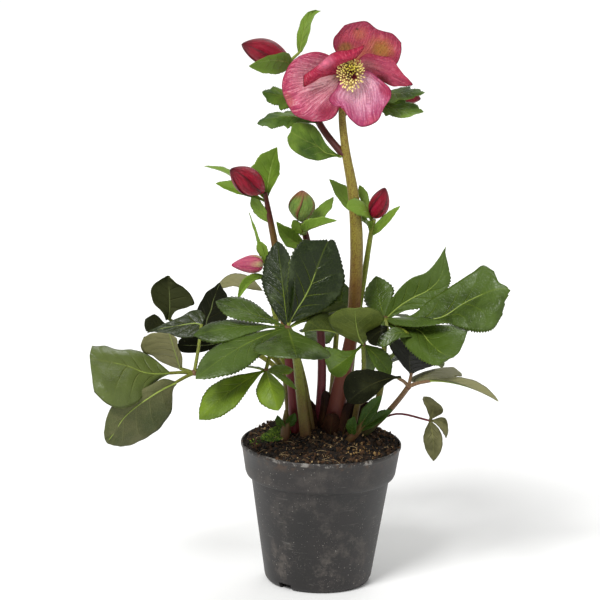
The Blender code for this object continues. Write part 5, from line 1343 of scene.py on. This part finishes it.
def makeStamenTree():  # threads from a ring to a dome of anthers, in the bloom's own axes
    graph, given = geometryGraph("stamens", stamenShape)
    maths, add = graph.maths, graph.add
    points = add("MeshLine", given["Count"], Offset=(0.0, 0.0, 0.0))
    index = add("InputIndex")
    angle = index * math.radians(stamenLayout["goldenAngle"])
    layer = maths("SQRT", (index + 0.5) / given["Count"])
    jitter = add("RandomValue", {"data_type": "FLOAT_VECTOR"}, stamenLayout["jitterLow"],
                 stamenLayout["jitterHigh"], ID=index, Seed=given["Seed"])
    side, rise = maths("COSINE", angle), maths("SINE", angle)
    low = maths("MAXIMUM", rise * -1, 0.0) * layer
    spread = layer * given["Spread"]
    height = rise * spread * stamenLayout["flat"] - low * given["Droop"] + stamenLayout["up"]
    outward = given["Reach"] - layer * layer * stamenLayout["dome"] - low * stamenLayout["sag"]
    tip = add("CombineXYZ", side * spread, height, outward) + jitter
    away = (tip - given["Pistil"]) * (1.0, 1.0, 0.0)
    push = maths("MAXIMUM", given["Gap"] - maths("LENGTH", away), 0.0)
    tip = (tip + maths("NORMALIZE", away) * push) * mm
    foot = add("CombineXYZ", side, rise, 0.0) * (given["Foot"] * mm * (layer * 0.5 + 0.5))
    run = tip - foot
    turn = add("AlignRotationToVector", {"axis": "Z"}, Vector=run)

    thread = add("CurveQuadraticBezier", 6, (0.0, 0.0, 0.0), (0.0, 0.0006, 0.6), (0.0, 0.0, 1.0))
    ring = add("CurvePrimitiveCircle", 5, Radius=given["Thread"] * mm)
    thread = add("CurveToMesh", thread, ring, 1.0, True)
    threads = add("InstanceOnPoints", Instance=thread, Rotation=turn,
                  Points=add("SetPosition", Geometry=points, Position=foot),
                  Scale=add("CombineXYZ", 1.0, 1.0, maths("LENGTH", run)))
    anther = add("Transform", add("MeshUVSphere", 8, 6, given["Anther"] * mm), Scale=(0.85, 0.7, 1.5))
    anthers = add("InstanceOnPoints", Instance=anther, Rotation=turn,
                  Points=add("SetPosition", Geometry=points, Position=tip),
                  Scale=add("RandomValue", {"data_type": "FLOAT"}, 0.75, 1.2, Seed=given["Seed"] + 1))
    anthers = add("StoreNamedAttribute", {"domain": "INSTANCE"}, Geometry=anthers, Name="tint",
                  Value=layer * 0.8 + low * 0.9)
    made = []
    for group, skin in ((threads, "Thread Skin"), (anthers, "Anther Skin")):
        whole = add("SetShadeSmooth", add("RealizeInstances", group))
        made.append(add("SetMaterial", Geometry=whole, Material=given[skin]))
    return closeGraph(graph, add("JoinGeometry", made))


def makeStamens():
    stamens = grow("bloomStamens", makeStamenTree(), {
        **stamenShape, "Pistil": list(stamenShape["Pistil"]), "Thread Skin": palette["filament"],
        "Anther Skin": palette["stamen"]})
    stamens.data.transform(bloomFrame(2.4))
    ring = bloomBase("stamenRing", "budPale")
    dress(joined("bloomStamens", [stamens, ring]), ["bloom_stamens"], "stamen_yellow")


pistilShape = {"count": 5, "place": (2.6, -1.6), "height": 9.8, "ring": 1.0, "flare": 1.9,
               "radii": (1.2, 0.9, 0.42)}


def makePistils():
    parts = [bloomBase("pistilFoot", "pistil")]
    across, up = pistilShape["place"]
    ring, flare, height = pistilShape["ring"], pistilShape["flare"], pistilShape["height"]
    for i in range(pistilShape["count"]):
        angle = math.tau * i / pistilShape["count"] + 0.4
        points = [bloomPoint(across * share + r * math.cos(angle), up * share + r * math.sin(angle), z)
                  for share, r, z in ((0.5, ring, 3.4), (0.8, ring, height * 0.7), (1.0, flare, height))]
        parts.append(stem(f"pistil{i}", sizedPath(points, pistilShape["radii"]), palette["pistil"], 10, 0.05))
    dress(joined("bloomPistils", parts), ["bloom_pistils"], "pistil_maroon")


makeStamens()
makePistils()
print("bloom ready")


# Buds: sepals wrapped round a drop shape, each with one edge under its neighbour

budCommon = {"sepals": 5, "span": 1.0, "lap": 0.16, "thick": 0.5, "rows": 34, "columns": 18,
             "narrowing": 0.12, "ridge": 0.03, "inset": 0.99, "sway": 0.02}
buds = {
    "budTop": {"node": "bud_top", "base": (-30, 12, 394), "tip": (-66, 8, 405.5), "radius": 9.2,
               "widest": 0.5, "twist": 40, "skin": "bud"},
    "budLeft": {"node": "bud_left", "base": (-46.6, 3.6, 296.2), "tip": (-72, -6.4, 315), "radius": 9.6,
                "widest": 0.48, "twist": 40, "skin": "bud"},
    "budCentre": {"node": "bud_centre", "base": (-18.3, -3.1, 275.6), "tip": (-19, -4, 300), "radius": 9.4,
                  "widest": 0.5, "twist": 60, "skin": "budGreen"},
    "budRight": {"node": "bud_right", "base": (34.8, 4.2, 278.1), "tip": (42.2, 2.8, 302.1), "radius": 7.0,
                 "widest": 0.42, "twist": 60, "skin": "bud"},
    "budLow": {"node": "bud_low", "base": (-46.3, 7.8, 240.9), "tip": (-70, 4, 240), "radius": 6.4,
               "widest": 0.3, "twist": 30, "skin": "budPale"},
    "budBehind": {"node": "bud_behind", "base": (47.3, 20.3, 368.4), "tip": (67, 20, 365.6), "radius": 5.2,
                  "widest": 0.45, "twist": 40, "skin": "bud"},
}


def shellMesh(name, place, rows, columns, thick, skin):  # a sheet through place(u, v), u from -1 to 1
    def at(u, v):
        return Vector(place(min(1.0, max(-1.0, u)), min(1.0, max(0.0, v))))

    layers, d = [[], []], 0.01
    for j in range(rows + 1):
        for i in range(columns + 1):
            u, v = 2 * i / columns - 1, j / rows
            normal = (at(u + d, v) - at(u - d, v)).cross(at(u, v + d) - at(u, v - d))
            normal = normal.normalized() if normal.length > 1e-9 else Vector((0, 0, 1))
            depth = thick / 2 * (1 - abs(u) ** 6) * min(1.0, v * (1 - v) * 30)
            layers[0].append(at(u, v) + normal * depth)
            layers[1].append(at(u, v) - normal * depth)
    return closedSheet(name, columns, rows, layers, [skin])


def makeBud(name, bud):
    bud = {**budCommon, **bud}
    base, tip = Vector(bud["base"]), Vector(bud["tip"])
    along = tip - base
    turn = along.to_track_quat("Z", "Y").to_matrix()
    power = math.log(0.5) / math.log(bud["widest"])
    parts = []
    for k in range(bud["sepals"]):
        def place(u, v, k=k):
            swell = math.sin(math.pi * v ** power) ** 0.75 if 0 < v < 1 else 0.0
            angle = math.tau * k / bud["sepals"] + u * bud["span"] * (1 - bud["narrowing"] * v)
            angle += math.radians(bud["twist"]) * v
            ridge = bud["ridge"] * (1 - abs(u)) ** 2
            reach = bud["radius"] * swell * (bud["inset"] + bud["lap"] * 0.5 * u + ridge)
            sway = bud["sway"] * math.sin(5 * v + k)
            return base + turn @ Vector((reach * math.cos(angle + sway), reach * math.sin(angle + sway),
                                         along.length * (v * 0.985 + 0.006 * (u + 1))))
        parts.append(shellMesh(f"{name}Sepal{k}", place, bud["rows"], bud["columns"], bud["thick"],
                               palette[bud["skin"]]))
    dress(joined(name, parts), [bud["node"]], "bud_crimson")


for budName, budTable in buds.items():
    makeBud(budName, budTable)
print("buds ready")


# Soil: a lumpy bed, with crumbs, fibres and moss strewn over it

def ringPoint(radius, angle, height):
    return Vector((radius * math.cos(angle), radius * math.sin(angle), height)) * mm


def makeSoilBed():
    shape = bmesh.new()
    rings, spokes = soilShape["rings"], soilShape["spokes"]
    rows = []
    for i in range(rings + 1):
        reach = soilShape["brim"] * (i / rings)
        row = []
        for j in range(spokes if i else 1):
            angle = math.tau * j / spokes
            x, y = reach * math.cos(angle), reach * math.sin(angle)
            fine = noise.fractal(Vector((x, y, 1.0)) / soilShape["grainSize"], 0.9, 2.0, 4)
            coarse = noise.noise(Vector((x, y, 5.0)) / 5.5)
            z = soilHeight(x, y) + soilShape["grain"] * (fine * 0.8 + coarse * 0.8) - 0.3
            row.append(shape.verts.new(Vector((x, y, z)) * mm))
        rows.append(row)
    radius, low = soilShape["floor"]
    floor = [shape.verts.new(ringPoint(radius, math.tau * j / spokes, low)) for j in range(spokes)]
    for row, after in zip(rows[1:], [*rows[2:], floor]):
        for j in range(spokes):
            k = (j + 1) % spokes
            shape.faces.new((row[j], after[j], after[k], row[k]))
    for j in range(spokes):
        shape.faces.new((rows[0][0], rows[1][j], rows[1][(j + 1) % spokes]))
    shape.faces.new(floor[::-1])
    bmesh.ops.recalc_face_normals(shape, faces=shape.faces)
    return newObject("soilBed", meshOf("soilBed", shape, palette["soil"]))


def soilPatch(name, centre, reach, steps, lift):  # an open patch of the soil's surface, to strew things on
    shape = bmesh.new()
    points = {}
    for i in range(-steps, steps + 1):
        for j in range(-steps, steps + 1):
            x, y = centre[0] + reach * i / steps, centre[1] + reach * j / steps
            if math.hypot(x - centre[0], y - centre[1]) <= reach and math.hypot(x, y) < soilShape["strewn"]:
                points[i, j] = shape.verts.new(Vector((x, y, soilHeight(x, y) + lift)) * mm)
    for (i, j), first in points.items():
        corners = [first, points.get((i + 1, j)), points.get((i + 1, j + 1)), points.get((i, j + 1))]
        if None not in corners:
            shape.faces.new(corners)
    return meshOf(name, shape, smooth=False)


rimBits = {  # the rings, as (radius, height), of a band over the pot's rim
    "inner": (55.5, 106.0), "outer": (59.2, 107.4), "steps": 72, "gap": -0.12, "gapSize": 5.0,
}


def rimBand(name):  # with gaps, to strew bits on
    shape = bmesh.new()
    steps = rimBits["steps"]
    inner, outer = ([shape.verts.new(ringPoint(radius, math.tau * k / steps, height)) for k in range(steps)]
                    for radius, height in (rimBits["inner"], rimBits["outer"]))
    for k in range(steps):
        after = (k + 1) % steps
        if noise.noise(Vector((k / rimBits["gapSize"], 0, 0))) > rimBits["gap"]:
            shape.faces.new((inner[k], inner[after], outer[after], outer[k])).normal_flip()
    return meshOf(name, shape, smooth=False)


def chanced(graph, given, low, high, more):  # a number or a vector of its own for each thing that is strewn
    kind = "FLOAT_VECTOR" if isinstance(low, tuple) else "FLOAT"
    return graph.add("RandomValue", {"data_type": kind}, low, high, Seed=given["Seed"] + more)


def makeStrewTree(name, sizes, thing):  # thing gives the shape that is strewn, its turn and its scale
    graph, given = geometryGraph(name, sizes)
    add = graph.add
    points = add("DistributePointsOnFaces", Mesh=given["Geometry"], Density=given["Density"],
                 Seed=given["Seed"])
    shape, turn, scale = thing(graph, given)
    turn = add("EulerToRotation", turn)
    many = add("InstanceOnPoints", Points=points, Instance=shape, Rotation=turn, Scale=scale)
    tint = chanced(graph, given, 0.0, 1.0, 4)
    many = add("StoreNamedAttribute", {"domain": "INSTANCE"}, Geometry=many, Name="tint", Value=tint)
    whole = add("RealizeInstances", many)
    return closeGraph(graph, add("SetMaterial", Geometry=whole, Material=given["Skin"]))


crumbSizes = {"Density": 200000.0, "Least": 0.25, "Most": 1.4, "Seed": 3, "Skin": None}
fibreSizes = {"Density": 12000.0, "Shortest": 3.0, "Longest": 11.0, "Thread": 0.14, "Bend": 1.6,
              "Upright": 0.25, "Seed": 11, "Skin": None}


def crumb(graph, given):
    dent = graph.add("TexNoise", Vector=graph.add("InputPosition"), Scale=1300.0, Detail=2.0) - 0.5
    shape = graph.add("SetPosition", Geometry=graph.add("MeshIcoSphere", mm, 1),
                      Offset=graph.add("InputNormal") * (dent * (1.1 * mm)))
    turn = chanced(graph, given, (0.0, 0.0, 0.0), (6.28, 6.28, 6.28), 1)
    chance = chanced(graph, given, 0.0, 1.0, 2) ** 3.0
    size = graph.ranged(chance, 0.0, 1.0, given["Least"], given["Most"], False)
    return shape, turn, chanced(graph, given, (0.6, 0.6, 0.5), (1.4, 1.1, 1.0), 3) * size


def fibre(graph, given):  # a bent thread of 8 mm, which its scale makes longer or shorter
    half = given["Bend"] * mm
    top = graph.add("CombineXYZ", 0.0, half, half)
    thread = graph.add("CurveQuadraticBezier", 9, (-4 * mm, 0.0, 0.0), top, (4 * mm, 0.0, 0.0))
    ring = graph.add("CurvePrimitiveCircle", 4, Radius=given["Thread"] * mm)
    about = chanced(graph, given, 0.0, math.tau, 1)
    tip = chanced(graph, given, given["Upright"] * -1, given["Upright"], 2)
    length = chanced(graph, given, given["Shortest"] / 8.0, given["Longest"] / 8.0, 3)
    roll = chanced(graph, given, -1.2, 1.2, 5)
    return (graph.add("CurveToMesh", thread, ring, 1.0, True), graph.add("CombineXYZ", roll, tip, about),
            graph.add("CombineXYZ", length, length, 1.0))


crumbTree = makeStrewTree("crumbs", crumbSizes, crumb)
fibreTree = makeStrewTree("fibres", fibreSizes, fibre)

strewn = {  # tree and sizes, the patch's middle, reach, steps and height, the skin and own values
    "crumbs": (crumbTree, crumbSizes, (0, 0), 57, 40, 0.6, "crumb",
               {"Density": 260000.0, "Least": 0.3, "Most": 2.3}),
    "paleBits": (crumbTree, crumbSizes, (0, 0), 57, 40, 1.1, "paleBit",
                 {"Density": 26000.0, "Least": 0.25, "Most": 1.3, "Seed": 21}),
    "fibres": (fibreTree, fibreSizes, (0, 0), 54, 40, 0.9, "fibre", {}),
    "mossBits": (crumbTree, crumbSizes, (-34, -1), 11, 18, 1.6, "moss",
                 {"Density": 1300000.0, "Least": 0.4, "Most": 1.4, "Seed": 31}),
    "mossThreads": (fibreTree, fibreSizes, (-34, -1), 11.5, 18, 2.0, "moss",
                    {"Density": 1200000.0, "Shortest": 1.0, "Longest": 3.0, "Thread": 0.16, "Upright": 1.2,
                     "Seed": 41}),
    "yellowBits": (crumbTree, crumbSizes, (-46, -4), 10, 12, 1.2, "moss",
                   {"Density": 130000.0, "Least": 0.3, "Most": 0.8, "Seed": 33}),
    "tanPatch": (crumbTree, crumbSizes, (30, -27), 15, 16, 1.2, "tan",
                 {"Density": 110000.0, "Least": 0.3, "Most": 1.4, "Seed": 51}),
}
rimCrumbs = {"Density": 110000.0, "Least": 0.3, "Most": 1.7, "Seed": 61}


def makeSoil():
    parts = [makeSoilBed()]
    for name, (tree, sizes, centre, reach, steps, lift, skin, own) in strewn.items():
        parts.append(grow(name, tree, {**sizes, **own, "Skin": palette[skin]},
                          soilPatch(name, centre, reach, steps, lift)))
    parts.append(grow("rimBits", crumbTree, {**crumbSizes, **rimCrumbs, "Skin": palette["crumb"]},
                      rimBand("rimBits")))
    dress(joined("soilBed", parts), ["soil"], "soil")


makeSoil()
print("soil ready")


# The pot

potShape = {
    "outside": [(58.8, 107), (59.6, 106.8), (60, 106.2), (60, 104.6), (59.7, 104), (59.2, 103.6),
                (57.4, 92.5), (56.2, 85), (55.2, 82.6), (54.2, 81.9), (52.4, 81.4), (51.9, 80.8),
                (51.6, 79.6), (46.1, 43.8), (40.6, 8), (40.2, 5.2), (39.6, 3), (38.2, 1), (36, 0), (0, 0)],
    "inside": [(0, 1.5), (34.4, 1.5), (36.6, 3), (38.1, 5.6), (44, 43), (50, 80.4), (51.2, 82), (53.6, 83),
               (56, 93.8), (58.3, 104.6), (58.4, 106.4)],
    "steps": 160,
    "notches": (232, 352, 112), "notch": (13.0, 11.0, 5.0), "notchCircle": 39.0,
    "drains": 6, "drain": 3.0, "drainCircle": 24.0, "drainDepth": 10.0,
}


def potMaterial():
    material, graph, slots, where = newMaterial("potPlastic")
    height = graph.add("SeparateXYZ", where)["Z"]
    cloud = graph.speckle(where, 22.0, 5.0, 0.6)
    base = graph.mix(graph.ranged(cloud, 0.3, 0.7), shade(19, 17, 16), shade(33, 29, 28))
    film = graph.ranged(graph.speckle(where, 55.0, 6.0, 0.75), 0.5, 0.7)
    collar = graph.ranged(graph.speckle(where, 34.0, 5.0, 0.7), 0.42, 0.66)
    collar = graph.ranged(height, 0.082, 0.086) * collar
    dust = graph.maths("MAXIMUM", film * (graph.ranged(height, 0.075, 0.0) * 0.3 + 0.2), collar * 0.3)
    specks = graph.ranged(graph.cells(where, 340.0), 0.15, 0.08)
    specks = specks * graph.ranged(graph.speckle(where, 40.0, 3.0), 0.46, 0.62)
    fine = graph.ranged(graph.cells(where, 700.0), 0.14, 0.06)
    fine = fine * graph.ranged(graph.speckle(where, 70.0, 3.0), 0.42, 0.6)
    scuff = graph.ranged(graph.speckle(where * (1.0, 1.0, 9.0), 60.0, 4.0, 0.7, 0.3), 0.62, 0.74)
    stain = graph.ranged(graph.speckle(where, 75.0, 5.0, 0.7), 0.5, 0.62) * graph.ranged(height, 0.096, 0.106)
    # The rim's top is lighter: rubbed wear, and a painted highlight where the light falls on it.
    rimWearAndHighlight = graph.ranged(graph.speckle(where, 160.0, 4.0, 0.7), 0.5, 0.62)
    rimWearAndHighlight = graph.ranged(height, 0.1035, 0.1045) * rimWearAndHighlight
    covers = ((dust, (108, 101, 94)), (specks * 0.55, (170, 166, 158)), (fine * 0.8, (150, 146, 138)),
              (scuff * 0.35, (120, 118, 112)), (stain * 0.7, (84, 58, 36)), (rimWearAndHighlight * 0.65, (146, 142, 136)))
    colour = base
    for cover, tint in covers:
        colour = graph.mix(cover, colour, shade(*tint))
    graph.put(slots["Base Color"], colour)
    graph.put(slots["Roughness"], dust * 0.4 + graph.ranged(cloud, 0.3, 0.7, 0.46, 0.56))
    relief = bumped(graph, graph.speckle(where, 1500.0, 3.0), 0.2, 0.0002)
    turned = graph.maths("SINE", height * 2600.0)
    graph.put(slots["Normal"], bumped(graph, turned * 0.2 + scuff, 0.15, 0.0002, relief))
    return material


def cutAway(piece, name, shape):  # takes a closed cutter out of a piece
    cutter = newObject(name, meshOf(name, shape, smooth=False))
    modifier = piece.modifiers.new(name, "BOOLEAN")
    modifier.operation, modifier.object, modifier.solver = "DIFFERENCE", cutter, "EXACT"
    bake(piece)
    bpy.data.objects.remove(cutter)


def makePot():
    profile = [*potShape["inside"], *potShape["outside"]]
    pot = turnedMesh("potShell", profile, potShape["steps"], potMaterial())
    wide, deep, high = (size * mm for size in potShape["notch"])
    for i, angle in enumerate(potShape["notches"]):
        turn = Matrix.Rotation(math.radians(angle), 4, "Z")
        shape = bmesh.new()
        bmesh.ops.create_cube(shape, size=1.0)
        bmesh.ops.scale(shape, vec=(wide, deep, high * 2), verts=shape.verts)
        bmesh.ops.transform(shape, matrix=turn @ Matrix.Translation((potShape["notchCircle"] * mm, 0, 0)),
                            verts=shape.verts)
        cutAway(pot, f"notch{i}", shape)
    for i in range(potShape["drains"]):
        place = ringPoint(potShape["drainCircle"], math.tau * i / potShape["drains"] + 0.14, 0)
        radius = potShape["drain"] * mm
        shape = bmesh.new()
        bmesh.ops.create_cone(shape, cap_ends=True, segments=24, radius1=radius, radius2=radius,
                              depth=potShape["drainDepth"] * mm, matrix=Matrix.Translation(place))
        cutAway(pot, f"drain{i}", shape)
    dress(pot, ["pot"], "pot_plastic")


makePot()
print("pot ready")


# Floor, light and camera

stageShape = {
    "floor": 60.0, "tone": (243, 243, 242), "rough": 0.9, "world": 0.55, "aim": (0, 0, 0.2),
    "sun": {"power": 2.7, "softness": 22.0, "place": (-0.9, -1.5, 1.9)},
    "panels": {"fillLight": (4.0, 1.6, (1.6, -1.0, 1.0)), "rimLight": (12.0, 0.9, (0.4, 1.5, 1.5))},
}


def makeFloor():
    bpy.ops.mesh.primitive_plane_add(size=stageShape["floor"])
    floor = bpy.context.object
    floor.name = "floor"
    material, _, slots, _ = newMaterial("paleFloor", stageShape["rough"])
    slots["Base Color"].default_value = (*shade(*stageShape["tone"]), 1.0)
    floor.data.materials.append(material)


def makeLights():
    world = bpy.data.worlds.new("softSky")
    world.use_nodes = True
    sky = world.node_tree.nodes["Background"].inputs
    sky["Color"].default_value, sky["Strength"].default_value = (1.0, 1.0, 1.0, 1.0), stageShape["world"]
    bpy.context.scene.world = world
    sun = bpy.data.lights.new("keyLight", "SUN")
    sun.energy, sun.angle = stageShape["sun"]["power"], math.radians(stageShape["sun"]["softness"])
    lamps = [(sun, stageShape["sun"]["place"])]
    for name, (power, size, place) in stageShape["panels"].items():
        panel = bpy.data.lights.new(name, "AREA")
        panel.energy, panel.size = power, size
        lamps.append((panel, place))
    for light, place in lamps:
        lamp = newObject(light.name, light)
        lamp.location = place
        lamp.rotation_euler = (Vector(stageShape["aim"]) - Vector(place)).to_track_quat("-Z", "Y").to_euler()


cameraPlace = {"from": (-0.0184, -2.88, 0.9528), "at": (-0.0184, 0.0, 0.2157), "roll": 1.42, "lens": 240.8}


def makeCamera():
    data = bpy.data.cameras.new("photoView")
    data.lens, data.sensor_width = cameraPlace["lens"], 36.0
    camera = newObject("photoView", data)
    at, eye = Vector(cameraPlace["at"]), Vector(cameraPlace["from"])
    roll = Quaternion((0, 0, 1), math.radians(cameraPlace["roll"]))
    camera.location = eye
    camera.rotation_euler = ((at - eye).to_track_quat("-Z", "Y") @ roll).to_euler()
    bpy.context.scene.camera = camera
    bpy.context.scene.view_settings.view_transform = "Standard"


makeFloor()
makeLights()
makeCamera()
for piece in [o for o in bpy.data.objects if o.type == "MESH" and len(o.data.vertices) > 5000]:
    print(piece.name, len(piece.data.polygons))
